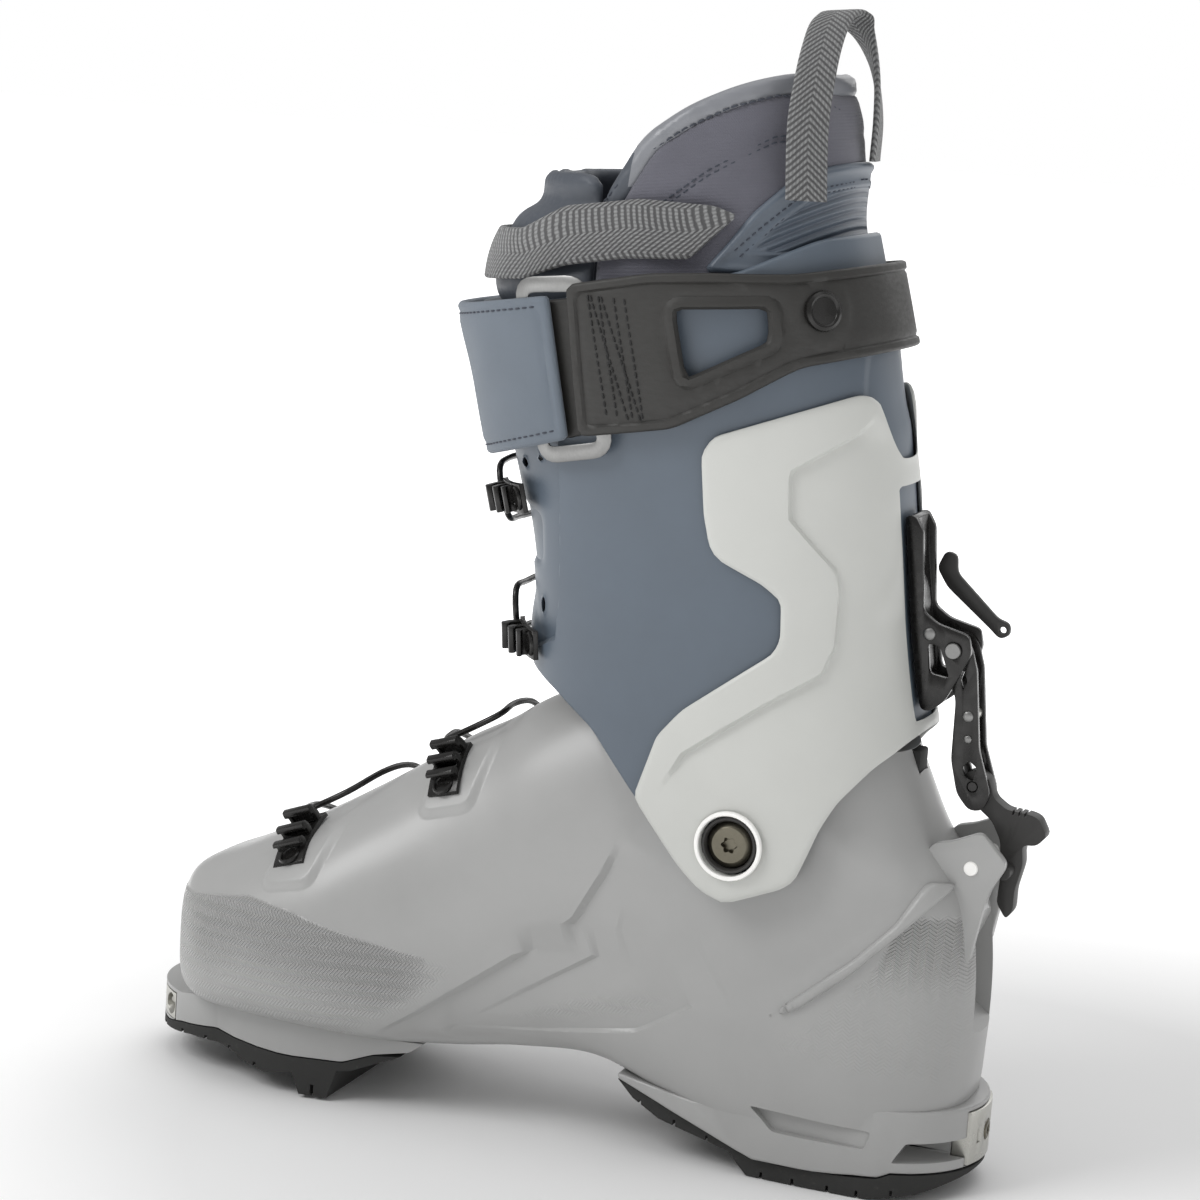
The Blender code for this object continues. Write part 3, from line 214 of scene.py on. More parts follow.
def smooth_rows(rows, steps):
    """Catmull-Rom sections between the rows, steps to each span."""
    first = [2 * a - b for a, b in zip(rows[0], rows[1])]
    last = [2 * a - b for a, b in zip(rows[-1], rows[-2])]
    padded = [first, *rows, last]
    made = []
    for i in range(len(rows) - 1):
        for k in range(steps):
            t = k / steps
            made.append([0.5 * (2 * b + (c - a) * t + (2 * a - 5 * b + 4 * c - d) * t * t
                                + (3 * b - a - 3 * c + d) * t ** 3)
                         for a, b, c, d in zip(*padded[i:i + 4])])
    made.append(list(rows[-1]))
    return made


def section(row, around):
    """Points of one closed section, starting at the top and passing down the medial side."""
    top_x, top_z, low_x, low_z, half, centre, widest, upper, lower = row
    angle = 2 * np.pi * np.arange(around) / around
    rise = np.cos(angle)
    power = np.where(rise >= 0, 2 / upper, 2 / lower)
    out = np.abs(rise) ** power
    share = np.where(rise >= 0, widest * (1 - out), widest + (1 - widest) * out)
    spread = np.abs(np.sin(angle)) ** power
    spread[[0, around // 2]] = 0.0
    side = np.where(angle < np.pi, -1.0, 1.0)
    return np.stack((top_x + (low_x - top_x) * share, centre + side * half * spread,
                     top_z + (low_z - top_z) * share), axis=1)


def grown(rows, amount):
    """The same sections moved outwards, or inwards when amount is negative."""
    made = []
    for row in rows:
        row = list(row)
        reach_x, reach_z = row[2] - row[0], row[3] - row[1]
        length = math.hypot(reach_x, reach_z)
        row[0] -= amount * reach_x / length
        row[1] -= amount * reach_z / length
        row[2] += amount * reach_x / length
        row[3] += amount * reach_z / length
        row[4] += amount
        made.append(row)
    return made


def cavity_rows(extra):
    """Sections of the space inside the shell, drawn in by extra millimetres."""
    rows = []
    for row, low, shift in zip(SHELL_ROWS, LOW_WALL, TOE_SHIFT):
        length = math.hypot(row[2] - row[0], row[3] - row[1])
        unit_x, unit_z = (row[2] - row[0]) / length, (row[3] - row[1]) / length
        inner = list(row)
        top_in = min(SIDE_WALL + extra, 0.40 * length)
        low_in = min(low + extra, 0.40 * length)
        back = shift * (SIDE_WALL + extra)
        inner[0] += top_in * unit_x + back
        inner[1] += top_in * unit_z
        inner[2] -= low_in * unit_x - back
        inner[3] -= low_in * unit_z
        inner[4] -= min(SIDE_WALL + extra, 0.6 * row[4])
        rows.append(inner)
    return rows


def side_y(rows, x, z):
    """Half width of the skin beside a side-view point, measured from the middle plane."""
    fine = smooth_rows(rows, 12)
    sides = [(r[2] - r[0]) * (z - r[1]) - (r[3] - r[1]) * (x - r[0]) for r in fine]
    for k in range(len(fine) - 1):
        if sides[k] * sides[k + 1] > 0:
            continue
        mix = sides[k] / (sides[k] - sides[k + 1])
        row = [a + (b - a) * mix for a, b in zip(fine[k], fine[k + 1])]
        reach = (row[2] - row[0], row[3] - row[1])
        share = ((x - row[0]) * reach[0] + (z - row[1]) * reach[1]) / (reach[0] ** 2 + reach[1] ** 2)
        if not 0 < share < 1:
            continue
        if share < row[6]:
            off, power = (row[6] - share) / row[6], row[7]
        else:
            off, power = (share - row[6]) / (1 - row[6]), row[8]
        return row[4] * (1 - off ** power) ** (1 / power)
    return 0.0


def side_normal(rows, x, z, side=-1):
    """Outward normal of the skin beside a side-view point."""
    step = 1.5
    slope_x = (side_y(rows, x + step, z) - side_y(rows, x - step, z)) / (2 * step)
    slope_z = (side_y(rows, x, z + step) - side_y(rows, x, z - step)) / (2 * step)
    return Vector((-slope_x, side, -slope_z)).normalized()


def on_side(rows, x, z, lift=0.0, side=-1):
    """A point of the skin beside a side-view point, lifted along its normal."""
    return Vector((x, side * side_y(rows, x, z), z)) + side_normal(rows, x, z, side) * lift


def place_on(rows, index, angle, grow=0.0):
    """A point of the skin: index counts along the rows, angle in degrees from the top."""
    fine = smooth_rows(grown(rows, grow), 20)
    row = fine[min(round(index * 20), len(fine) - 1)]
    return Vector(section(row, 720)[round(angle * 2) % 720])


def frame_on(rows, index, angle):
    """Point, axis along the rows, outward normal and direction towards the top, on the skin."""
    spot = place_on(rows, index, angle)
    along = (place_on(rows, index + 0.3, angle) - place_on(rows, index - 0.3, angle)).normalized()
    turn = -3 if angle < 180 else 3
    upward = place_on(rows, index, angle + turn) - place_on(rows, index, angle - turn)
    upward = (upward - along * upward.dot(along)).normalized()
    normal = along.cross(upward).normalized()
    if normal.y * spot.y < 0:
        normal = -normal
    return spot, along, normal, upward


# Columns of a skin: position 0-2, outward normal 3-5, millimetres along the rows 6 and around 7.

def skin(rows, steps, around):
    """A fine skin through the rows, as columns and quads."""
    rings = np.array([section(row, around) for row in smooth_rows(rows, steps)])
    count = len(rings)
    ahead = np.roll(rings, -1, axis=1) - np.roll(rings, 1, axis=1)
    along = np.gradient(rings, axis=0)
    normal = np.cross(ahead, along)
    normal /= np.linalg.norm(normal, axis=2, keepdims=True) + 1e-12
    centre = rings.mean(axis=1, keepdims=True)
    if ((rings - centre) * normal).sum() < 0:
        normal = -normal
    middle = rings[:, around // 4]
    run = np.concatenate(([0.0], np.cumsum(np.linalg.norm(np.diff(middle, axis=0), axis=1))))
    lengths = np.linalg.norm(np.diff(rings, axis=1), axis=2)
    turn = np.concatenate((np.zeros((count, 1)), np.cumsum(lengths, axis=1)), axis=1)
    columns = np.concatenate((rings, normal, np.repeat(run, around).reshape(count, around, 1),
                              turn[..., None]), axis=2).reshape(-1, 8)
    return columns, [face for i in range(count - 1) for face in quads(i * around, (i + 1) * around, around)]


def split(columns, faces, field, level=0.0, far=8.0):
    """Adds an edge wherever field passes level, leaving alone jumps of more than far."""
    value = field(columns) - level
    value[np.abs(value) < 1e-4] = 0.0
    value = value.tolist()
    known, extra, made = {}, [], []
    count = len(columns)
    for face in faces:
        ring = []
        for a, b in zip(face, face[1:] + face[:1]):
            ring.append(a)
            if value[a] * value[b] < 0 and abs(value[a] - value[b]) < far:
                key = (a, b) if a < b else (b, a)
                if key not in known:
                    share = value[key[0]] / (value[key[0]] - value[key[1]])
                    known[key] = count + len(extra)
                    extra.append(columns[key[0]] + (columns[key[1]] - columns[key[0]]) * share)
                    value.append(0.0)
                ring.append(known[key])
        zero = [k for k, i in enumerate(ring) if value[i] == 0.0]
        if len(zero) == 2 and 1 < zero[1] - zero[0] < len(ring) - 1:
            made.append(ring[zero[0]:zero[1] + 1])
            made.append(ring[zero[1]:] + ring[:zero[0] + 1])
        else:
            made.append(ring)
    if extra:
        columns = np.concatenate((columns, np.array(extra)))
    return columns, made


def keep(columns, faces, field, level=0.0):
    """Trims a skin to where field is over level."""
    columns, faces = split(columns, faces, field, level, 1e9)
    value = field(columns) - level
    faces = [face for face in faces if value[face].mean() > 1e-5]
    return compact(columns, faces)


def compact(columns, faces):
    used = np.unique(np.concatenate([np.array(face) for face in faces]))
    place = np.full(len(columns), -1)
    place[used] = np.arange(len(used))
    return columns[used], [[int(place[i]) for i in face] for face in faces]


def inside(outline):
    """Field: side-view distance to an outline, positive inside it."""
    corners = np.array(outline, float)

    def field(columns):
        x, z = columns[:, 0], columns[:, 2]
        best = np.full(len(x), 1e9)
        odd = np.zeros(len(x), bool)
        for a, b in zip(corners, np.roll(corners, -1, axis=0)):
            edge = b - a
            share = np.clip(((x - a[0]) * edge[0] + (z - a[1]) * edge[1]) / (edge @ edge), 0, 1)
            best = np.minimum(best, np.hypot(x - a[0] - share * edge[0], z - a[1] - share * edge[1]))
            crosses = (a[1] > z) != (b[1] > z)
            with np.errstate(divide="ignore", invalid="ignore"):
                cut = a[0] + (z - a[1]) * edge[0] / (edge[1] if edge[1] else 1e-9)
            odd ^= crosses & (x < cut)
        return np.where(odd, best, -best)
    return field


def beside(line):
    """Field: side-view distance to an open line, positive on its right when walking along it."""
    corners = np.array(line, float)

    def field(columns):
        return reach(columns, corners)[0]
    return field


def reach(columns, line):
    """Signed distance to an open line and the share of its length at the nearest point."""
    corners = np.array(line, float)
    x, z = columns[:, 0], columns[:, 2]
    best = np.full(len(x), 1e9)
    sign = np.ones(len(x))
    share_of = np.zeros(len(x))
    lengths = np.linalg.norm(np.diff(corners, axis=0), axis=1)
    starts = np.concatenate(([0.0], np.cumsum(lengths)))
    for k, (a, b) in enumerate(zip(corners, corners[1:])):
        edge = b - a
        raw = ((x - a[0]) * edge[0] + (z - a[1]) * edge[1]) / (edge @ edge)
        share = np.clip(raw, 0, 1)
        gap = np.hypot(x - a[0] - share * edge[0], z - a[1] - share * edge[1])
        side = (x - a[0]) * edge[1] - (z - a[1]) * edge[0]
        nearer = gap < best - 1e-9
        best = np.where(nearer, gap, best)
        sign = np.where(nearer, np.sign(side), sign)
        share_of = np.where(nearer, (starts[k] + share * lengths[k]) / starts[-1], share_of)
    return best * sign, share_of


def ease(value, low, high):
    """Smooth step from 0 at low to 1 at high."""
    t = np.clip((value - low) / (high - low), 0, 1)
    return t * t * (3 - 2 * t)


def smaller(*fields):
    return lambda columns: np.min([field(columns) for field in fields], axis=0)


def opposite(field):
    return lambda columns: -field(columns)


def round_corners(outline, radius, steps=4):
    """The outline with each corner replaced by a curve of about this radius."""
    made = []
    count = len(outline)
    for k in range(count):
        before, spot, after = (np.array(outline[(k + d) % count], float) for d in (-1, 0, 1))
        back, on = before - spot, after - spot
        reach_back = min(radius, 0.45 * np.linalg.norm(back))
        reach_on = min(radius, 0.45 * np.linalg.norm(on))
        start = spot + back / np.linalg.norm(back) * reach_back
        end = spot + on / np.linalg.norm(on) * reach_on
        for i in range(steps + 1):
            t = i / steps
            made.append(tuple((1 - t) ** 2 * start + 2 * t * (1 - t) * spot + t * t * end))
    return made


def noise(points, scale, seed=0):
    """Smooth repeatable noise between about -1 and 1 from a few crossed waves."""
    rng = np.random.default_rng(seed)
    total = np.zeros(len(points))
    for _ in range(7):
        wave = rng.normal(size=3)
        wave *= rng.uniform(0.6, 1.7) / scale / np.linalg.norm(wave)
        total += np.sin(2 * np.pi * (points[:, :3] @ wave) + rng.uniform(0, 6.28))
    return total / 3.2


# ---------------------------------------------------------------- pieces

def quads(low, high, count):
    """Faces between two closed rings of count points, which start at indices low and high."""
    return [[low + k, low + (k + 1) % count, high + (k + 1) % count, high + k] for k in range(count)]


def caps(rings, size):
    """Faces that close the first and the last ring."""
    return [list(range(size))[::-1], [(rings - 1) * size + k for k in range(size)]]


def linked(name, mesh):
    """A new object in the scene."""
    made = bpy.data.objects.new(name, mesh)
    bpy.context.scene.collection.objects.link(made)
    return made


def baked(made):
    """An object's mesh with its modifiers applied."""
    graph = bpy.context.evaluated_depsgraph_get()
    return bpy.data.meshes.new_from_object(made.evaluated_get(graph), depsgraph=graph)


def shaded(mesh, sharp=None):
    """Smooth shading, broken at edges over sharp degrees when given."""
    mesh.polygons.foreach_set("use_smooth", [True] * len(mesh.polygons))
    if sharp:
        mesh.set_sharp_from_angle(angle=math.radians(sharp))
    return mesh


def places(mesh):
    """Vertex places as rows, in metres."""
    spots = np.zeros(len(mesh.vertices) * 3)
    mesh.vertices.foreach_get("co", spots)
    return spots.reshape(-1, 3)


def boolean(made, kind, helper):
    """Adds an exact Boolean with another object."""
    change = made.modifiers.new("carve", "BOOLEAN")
    change.operation = kind
    change.object = helper
    change.solver = "EXACT"


def mesh_from(name, points, faces, columns=None, marks=None, sharp=38):
    """A mesh in frame metres, smooth but for edges over sharp degrees, with its own coordinates kept."""
    mesh = bpy.data.meshes.new(name)
    mesh.from_pydata(world(points).tolist(), [], faces)
    if columns is not None:
        cloth = np.zeros((len(columns), 3))
        cloth[:, :2] = columns[:, 6:8]
        mesh.attributes.new("cloth", "FLOAT_VECTOR", "POINT").data.foreach_set("vector", cloth.ravel())
    for label, value in (marks or {}).items():
        kept = mesh.attributes.new(label, "FLOAT", "POINT")
        kept.data.foreach_set("value", np.asarray(value, np.float32))
    mesh.validate()
    return shaded(mesh, sharp)


def piece(name, mesh, look, body, stands_for=()):
    """Puts a mesh in the scene as a named piece on a CAD body."""
    made = linked(name, mesh)
    for one in ([look] if isinstance(look, str) else look):
        mesh.materials.append(looks[one])
    if body:
        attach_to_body(made, body)
    if stands_for:
        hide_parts(*stands_for)
    return made


def rim_profile(distance, radius):
    """Share of full thickness at a distance from a rounded edge."""
    off = 1 - np.clip(distance / radius, 0, 1)
    return np.sqrt(np.clip(1 - off * off, 0.06, 1))


def wall(columns, faces, low, high):
    """A closed wall between two offsets along the normals, as points, faces and doubled columns."""
    count = len(columns)
    outer = columns[:, :3] + columns[:, 3:6] * np.reshape(high, (-1, 1))
    inner = columns[:, :3] + columns[:, 3:6] * np.reshape(low, (-1, 1))
    edges = {}
    for face in faces:
        for a, b in zip(face, face[1:] + face[:1]):
            edges[(a, b)] = True
    sides = [[b, a, a + count, b + count] for a, b in edges if (b, a) not in edges]
    first = faces[0]
    corner = outer[first[:3]]
    flip = np.dot(np.cross(corner[1] - corner[0], corner[2] - corner[1]), columns[first[0], 3:6]) < 0
    back = [[i + count for i in reversed(face)] for face in faces]
    made = faces + back + sides
    if flip:
        made = [face[::-1] for face in made]
    return np.concatenate((outer, inner)), made, np.concatenate((columns, columns))


EDGE_CUTS = (0.12, 0.45, 1.0)


def edged_panel(rows, density, field, lift, thick, radius, relief=None, cuts=()):
    """A trimmed wall over a skin with rounded edges. relief moves the outer face."""
    columns, faces = skin(rows, *density)
    columns, faces = keep(columns, faces, field)
    for share in EDGE_CUTS:
        columns, faces = split(columns, faces, field, radius * share, 1e9)
    for line, level in cuts:
        columns, faces = split(columns, faces, line, level)
    rim = rim_profile(field(columns), radius)
    middle = lift + thick / 2
    high = middle + thick / 2 * rim
    low = middle - thick / 2 * rim
    if relief:
        high = high + relief(columns) * rim
    return columns, faces, low, high


def tube(points, radius, sides=10):
    """Points and faces of a wire through points."""
    path = [Vector(p) for p in points]
    count = len(path)
    rings, faces = [], []
    hint = Vector((0.31, 0.87, 0.37))       # any direction that no wire runs along
    for k, spot in enumerate(path):
        ahead = path[k + 1] if k < count - 1 else spot
        behind = path[k - 1] if k > 0 else spot
        run = (ahead - behind).normalized()
        first = (hint - run * hint.dot(run)).normalized()
        second = run.cross(first)
        hint = first
        for i in range(sides):
            turn = 2 * math.pi * i / sides
            rings.append(spot + first * (radius * math.cos(turn)) + second * (radius * math.sin(turn)))
    for k in range(count - 1):
        faces += quads(k * sides, (k + 1) * sides, sides)
    return np.array([tuple(p) for p in rings]), faces + caps(count, sides)


def smooth_path(points, steps=6):
    """Catmull-Rom curve through the points."""
    path = [np.array(p, float) for p in points]
    count = len(path)
    made = []
    for k in range(count - 1):
        a = path[k - 1] if k > 0 else 2 * path[0] - path[1]
        b, c = path[k], path[k + 1]
        d = path[k + 2] if k < count - 2 else 2 * path[-1] - path[-2]
        for i in range(steps):
            t = i / steps
            made.append(0.5 * (2 * b + (c - a) * t + (2 * a - 5 * b + 4 * c - d) * t * t
                               + (3 * b - a - 3 * c + d) * t ** 3))
    return made + [path[-1]]


def joined(items):
    """Several (points, faces) as one."""
    points, faces, start = [], [], 0
    for some, those in items:
        points.append(np.asarray(some, float))
        faces += [[i + start for i in face] for face in those]
        start += len(some)
    return np.concatenate(points), faces


def prism(outline, ends, axes="xzy", place=None):
    """Points and faces of an outline extruded between two ends, along axes or in a frame of vectors."""
    if place:
        start, first, second, third = (np.array(v, float) for v in place)
    else:
        unit = {"x": np.array((1.0, 0, 0)), "y": np.array((0, 1.0, 0)), "z": np.array((0, 0, 1.0))}
        start = np.zeros(3)
        first, second, third = (unit[letter] for letter in axes)
    low = [start + first * a + second * b + third * ends[0] for a, b in outline]
    high = [start + first * a + second * b + third * ends[1] for a, b in outline]
    count = len(outline)
    faces = [list(range(count)), [count + k for k in reversed(range(count))]]
    for k in range(count):
        after = (k + 1) % count
        faces.append([k, count + k, count + after, after])
    return np.array(low + high), faces


def disc(centre, axis, profile, sides=32):
    """Points and faces turned about an axis through a centre; profile is (radius, height) pairs."""
    centre, axis = Vector(centre), Vector(axis).normalized()
    turn = Vector((0, 0, 1)).rotation_difference(axis)
    points, faces = [], []
    for radius, height in profile:
        for k in range(sides):
            angle = 2 * math.pi * k / sides
            spot = (radius * math.cos(angle), radius * math.sin(angle), height)
            points.append(centre + turn @ Vector(spot))
    for r in range(len(profile) - 1):
        faces += quads(r * sides, (r + 1) * sides, sides)
    return np.array([tuple(p) for p in points]), faces + caps(len(profile), sides)


def ring_of(centre, axis, profile, sides=40):
    """Like disc, but the profile closes on itself round a hole."""
    points, faces = disc(centre, axis, profile, sides)
    return points, faces[:-2] + quads((len(profile) - 1) * sides, 0, sides)


def solid(name, points, faces, bevel=0.0, segments=2, sharp=38):
    """A closed mesh with outward faces and, when asked, rounded edges."""
    work = bmesh.new()
    verts = [work.verts.new(p) for p in world(points)]
    for face in faces:
        work.faces.new([verts[i] for i in face])
    bmesh.ops.recalc_face_normals(work, faces=work.faces)
    if bevel:
        sharp_edges = [e for e in work.edges if e.calc_face_angle(0) > math.radians(28)]
        bmesh.ops.bevel(work, geom=sharp_edges, offset=bevel * MM, segments=segments, profile=0.5,
                        affect="EDGES", clamp_overlap=True)
    mesh = bpy.data.meshes.new(name)
    work.to_mesh(mesh)
    work.free()
    return shaded(mesh, sharp)


def carved(name, base, shapes, bevel=0.0, segments=2, sharp=30):
    """A mesh from Booleans on closed (points, faces) shapes, each cut away unless it starts with its kind."""
    made = linked(name, solid(name, *base))
    helpers = []
    for shape in shapes:
        kind, data = (shape[0], shape[1:]) if isinstance(shape[0], str) else ("DIFFERENCE", shape)
        helpers.append(linked(name + "_helper", solid(name + "_helper", *data)))
        boolean(made, kind, helpers[-1])
    mesh = baked(made)
    for old in (made, *helpers):
        bpy.data.objects.remove(old)
    if bevel:
        work = bmesh.new()
        work.from_mesh(mesh)
        bmesh.ops.remove_doubles(work, verts=work.verts, dist=2e-5)
        bmesh.ops.dissolve_limit(work, angle_limit=math.radians(2), verts=work.verts, edges=work.edges)
        edges = [e for e in work.edges if e.is_manifold and e.calc_face_angle(0) > math.radians(28)]
        bmesh.ops.bevel(work, geom=edges, offset=bevel * MM, segments=segments, profile=0.5,
                        affect="EDGES", clamp_overlap=True)
        work.to_mesh(mesh)
        work.free()
    return shaded(mesh, sharp)


def shaped(name, shape, look, body, node=None, sharp=38):
    """A piece straight from points and faces, standing for a CAD node when one is named."""
    piece(name, solid(name, *shape, sharp=sharp), look, body, (node,) if node else ())


def panelled(name, panel, look, body, node=None, marks=None, sharp=38):
    """A piece from edged_panel's columns, faces and two heights; marks gives values to keep."""
    points, faces, doubled = wall(*panel)
    mesh = mesh_from(name, points, faces, doubled, marks and marks(doubled), sharp)
    piece(name, mesh, look, body, (node,) if node else ())


def dress(node, look):
    """Gives a CAD node a finish; its own mesh stays as packed."""
    made = frame["nodes"][node].data
    made.materials.clear()
    made.materials.append(looks[look])
    shaded(made)


# ---------------------------------------------------------------- finishes

def srgb(*levels):
    """Linear colour from 0-255 display levels."""
    return tuple(((v / 255 + 0.055) / 1.055) ** 2.4 if v > 10 else v / 255 / 12.92 for v in levels) + (1.0,)


class Finish:
    """A node material put together from short calls."""

    def __init__(self, name):
        self.made = bpy.data.materials.new(name)
        self.made.use_nodes = True
        self.tree = self.made.node_tree
        self.shader = self.tree.nodes["Principled BSDF"]
        self.place = self.add("ShaderNodeTexCoord").outputs["Object"]
        self.height = None
        looks[name] = self.made

    def add(self, kind, inputs=None, **settings):
        node = self.tree.nodes.new(kind)
        for key, value in settings.items():
            setattr(node, key, value)
        for key, value in (inputs or {}).items():
            if isinstance(value, bpy.types.NodeSocket):
                self.tree.links.new(value, node.inputs[key])
            else:
                node.inputs[key].default_value = value
        return node

    def maths(self, operation, a, b=0.0, c=0.0, clamp=False):
        return self.add("ShaderNodeMath", {0: a, 1: b, 2: c}, operation=operation, use_clamp=clamp).outputs[0]

    def times(self, a, b):
        return self.maths("MULTIPLY", a, b)

    def plus(self, a, b):
        return self.maths("ADD", a, b)

    def sine(self, angle):
        return self.maths("SINE", angle)

    def noise(self, scale, detail=2.0, rough=0.5, place=None):
        values = {"Vector": place or self.place, "Scale": scale, "Detail": detail, "Roughness": rough}
        return self.add("ShaderNodeTexNoise", values).outputs["Fac"]

    def mark(self, name, kind="Fac"):
        """A value kept on the mesh under a name."""
        return self.add("ShaderNodeAttribute", attribute_name=name).outputs[kind]

    def mix(self, share, first, second):
        node = self.add("ShaderNodeMix", {0: share, 6: first, 7: second}, data_type="RGBA")
        return node.outputs[2]

    def span(self, value, low, high, to_low=0.0, to_high=1.0):
        return self.add("ShaderNodeMapRange", {0: value, 1: low, 2: high, 3: to_low, 4: to_high}).outputs[0]

    def set(self, **inputs):
        for key, value in inputs.items():
            label = key.replace("_", " ")
            if isinstance(value, bpy.types.NodeSocket):
                self.tree.links.new(value, self.shader.inputs[label])
            else:
                self.shader.inputs[label].default_value = value

    def bump(self, height, strength, distance):
        """Adds a layer of bump, distance in millimetres."""
        inputs = {"Strength": strength, "Distance": distance * MM, "Height": height}
        if self.height:
            inputs["Normal"] = self.height
        self.height = self.add("ShaderNodeBump", inputs).outputs[0]
        self.set(Normal=self.height)


looks = {}


def tones(colour, amount):
    dark = tuple(c * (1 - amount) for c in colour[:3]) + (1.0,)
    light = tuple(min(1.0, c * (1 + amount)) for c in colour[:3]) + (1.0,)
    return dark, light


def plastic(name, colour, rough, grain=0.25, mottle=0.05, coat=0.0):
    """Moulded plastic: cloudy colour, fine mould grain and faint handling scuffs."""
    made = Finish(name)
    dark, light = tones(colour, mottle)
    cloud = made.noise(38, 4, 0.6)
    base = made.mix(made.span(cloud, 0.3, 0.7), dark, light)
    speck = made.span(made.noise(2600, 1), 0.62, 0.78)
    base = made.mix(made.times(speck, 0.10), base, dark)
    stretched = made.add("ShaderNodeMapping", {"Vector": made.place, "Scale": (1.0, 1.0, 7.0),
                                               "Rotation": (0.3, 0.5, 0.2)}).outputs[0]
    scuff = made.span(made.noise(210, 5, 0.7, stretched), 0.66, 0.72)
    gloss = made.span(cloud, 0.2, 0.8, rough - 0.05, rough + 0.05)
    made.set(Base_Color=base, Roughness=made.plus(gloss, made.times(scuff, 0.10)))
    made.set(Coat_Weight=coat, Coat_Roughness=0.25)
    made.bump(made.noise(2300, 2), grain, 0.05)
    made.bump(made.noise(90, 2), 0.15, 0.25)
    return made


def zigzag(made, along, up, period, reach_of, wave):
    """Height of raised zigzag lines, from two coordinates in millimetres."""
    swing = made.maths("PINGPONG", along, wave / 2)
    phase = made.maths("DIVIDE", made.plus(up, made.times(swing, reach_of)), period)
    return made.sine(made.times(phase, 2 * math.pi))


def shell_finish():
    """The shell's plastic, with woven lines where the mesh is marked for them; their raised crests are
    painted lighter, a painted highlight.
    """
    made = plastic("shell", srgb(164, 164, 163), 0.33, 0.2, 0.03, 0.12)
    parts_of = made.add("ShaderNodeSeparateXYZ", {0: made.place}).outputs
    x = made.times(parts_of[0], 1000)
    z = made.times(parts_of[2], 1000)
    rear = made.maths("GREATER_THAN", x, 0.0)
    toe = zigzag(made, made.plus(z, 400.0), x, 1.25, 0.8, 4.6)
    heel = zigzag(made, made.plus(x, 400.0), z, 1.25, 0.8, 4.6)
    line = made.plus(made.times(heel, rear), made.times(toe, made.maths("SUBTRACT", 1.0, rear)))
    made.bump(made.times(line, made.mark("weave")), 1.0, 0.32)
    # Painted highlight: the zigzag's raised crests get a lighter colour wherever the weave mark is set.
    zigzag_crest_highlight = made.times(made.span(line, -0.6, 0.9), made.mark("weave"))
    link = made.shader.inputs["Base Color"].links[0].from_socket
    made.set(Base_Color=made.mix(made.times(zigzag_crest_highlight, 0.30), link, srgb(192, 192, 190)))


def metal(name, colour, rough, scratch=0.3):
    """Metal with fine brushing and slightly uneven sheen."""
    made = Finish(name)
    dark, light = tones(colour, 0.12)
    stretched = made.add("ShaderNodeMapping", {"Vector": made.place, "Scale": (1.0, 6.0, 1.0)}).outputs[0]
    brush = made.noise(900, 3, 0.6, stretched)
    made.set(Base_Color=made.mix(brush, dark, light), Metallic=1.0,
             Roughness=made.span(made.noise(140, 3), 0.3, 0.7, rough - 0.06, rough + 0.08))
    made.bump(brush, scratch, 0.02)


def painted(name, colour, rough):
    """Black coated metal, with the coat thinned at random specks."""
    made = Finish(name)
    dark, light = tones(colour, 0.25)
    worn = made.span(made.noise(420, 4, 0.7), 0.70, 0.76)
    coat = made.mix(made.noise(120, 3), dark, light)
    made.set(Base_Color=made.mix(made.times(worn, 0.35), coat, srgb(120, 119, 117)),
             Roughness=made.span(made.noise(300, 3), 0.3, 0.7, rough - 0.06, rough + 0.1), Metallic=0.35)
    made.set(Specular_IOR_Level=0.6)
    made.bump(made.noise(1500, 2), 0.2, 0.04)


def rubber_finish():
    """Dusty black rubber."""
    made = Finish("rubber")
    dark, light = tones(srgb(44, 44, 43), 0.2)
    dust = made.span(made.noise(300, 5, 0.7), 0.6, 0.75)
    base = made.mix(made.noise(60, 3), dark, light)
    made.set(Base_Color=made.mix(made.times(dust, 0.25), base, srgb(92, 90, 86)), Roughness=0.8)
    made.bump(made.noise(1400, 3), 0.5, 0.08)


def herringbone(name, light, dark, half, period, slope):
    """Twill webbing: slanted threads that turn over at columns of a fixed width, from cloth coordinates."""
    made = Finish(name)
    cloth = made.mark("cloth", "Vector")
    parts_of = made.add("ShaderNodeSeparateXYZ", {0: cloth}).outputs
    across, along = parts_of[0], parts_of[1]
    wobble = made.times(made.maths("SUBTRACT", made.noise(900, 2), 0.5), 0.7)
    swing = made.maths("PINGPONG", made.plus(across, 200 * half), half)
    phase = made.maths("DIVIDE", made.plus(made.plus(along, wobble), made.times(swing, slope)), period)
    twill = made.span(made.sine(made.times(phase, 2 * math.pi)), -0.55, 0.55)
    thread = made.sine(made.times(across, 2 * math.pi / (0.55 * period)))
    beads = made.span(thread, -0.9, 0.6)
    pattern = made.times(twill, made.plus(made.times(beads, 0.45), 0.55))
    fuzz = made.noise(2200, 3, 0.7)
    base = made.mix(pattern, dark, light)
    base = made.mix(made.times(fuzz, 0.35), base, dark)
    made.set(Base_Color=base, Roughness=0.92, Sheen_Weight=0.25, Sheen_Roughness=0.5)
    made.bump(made.plus(pattern, made.times(fuzz, 0.4)), 0.9, 0.35)


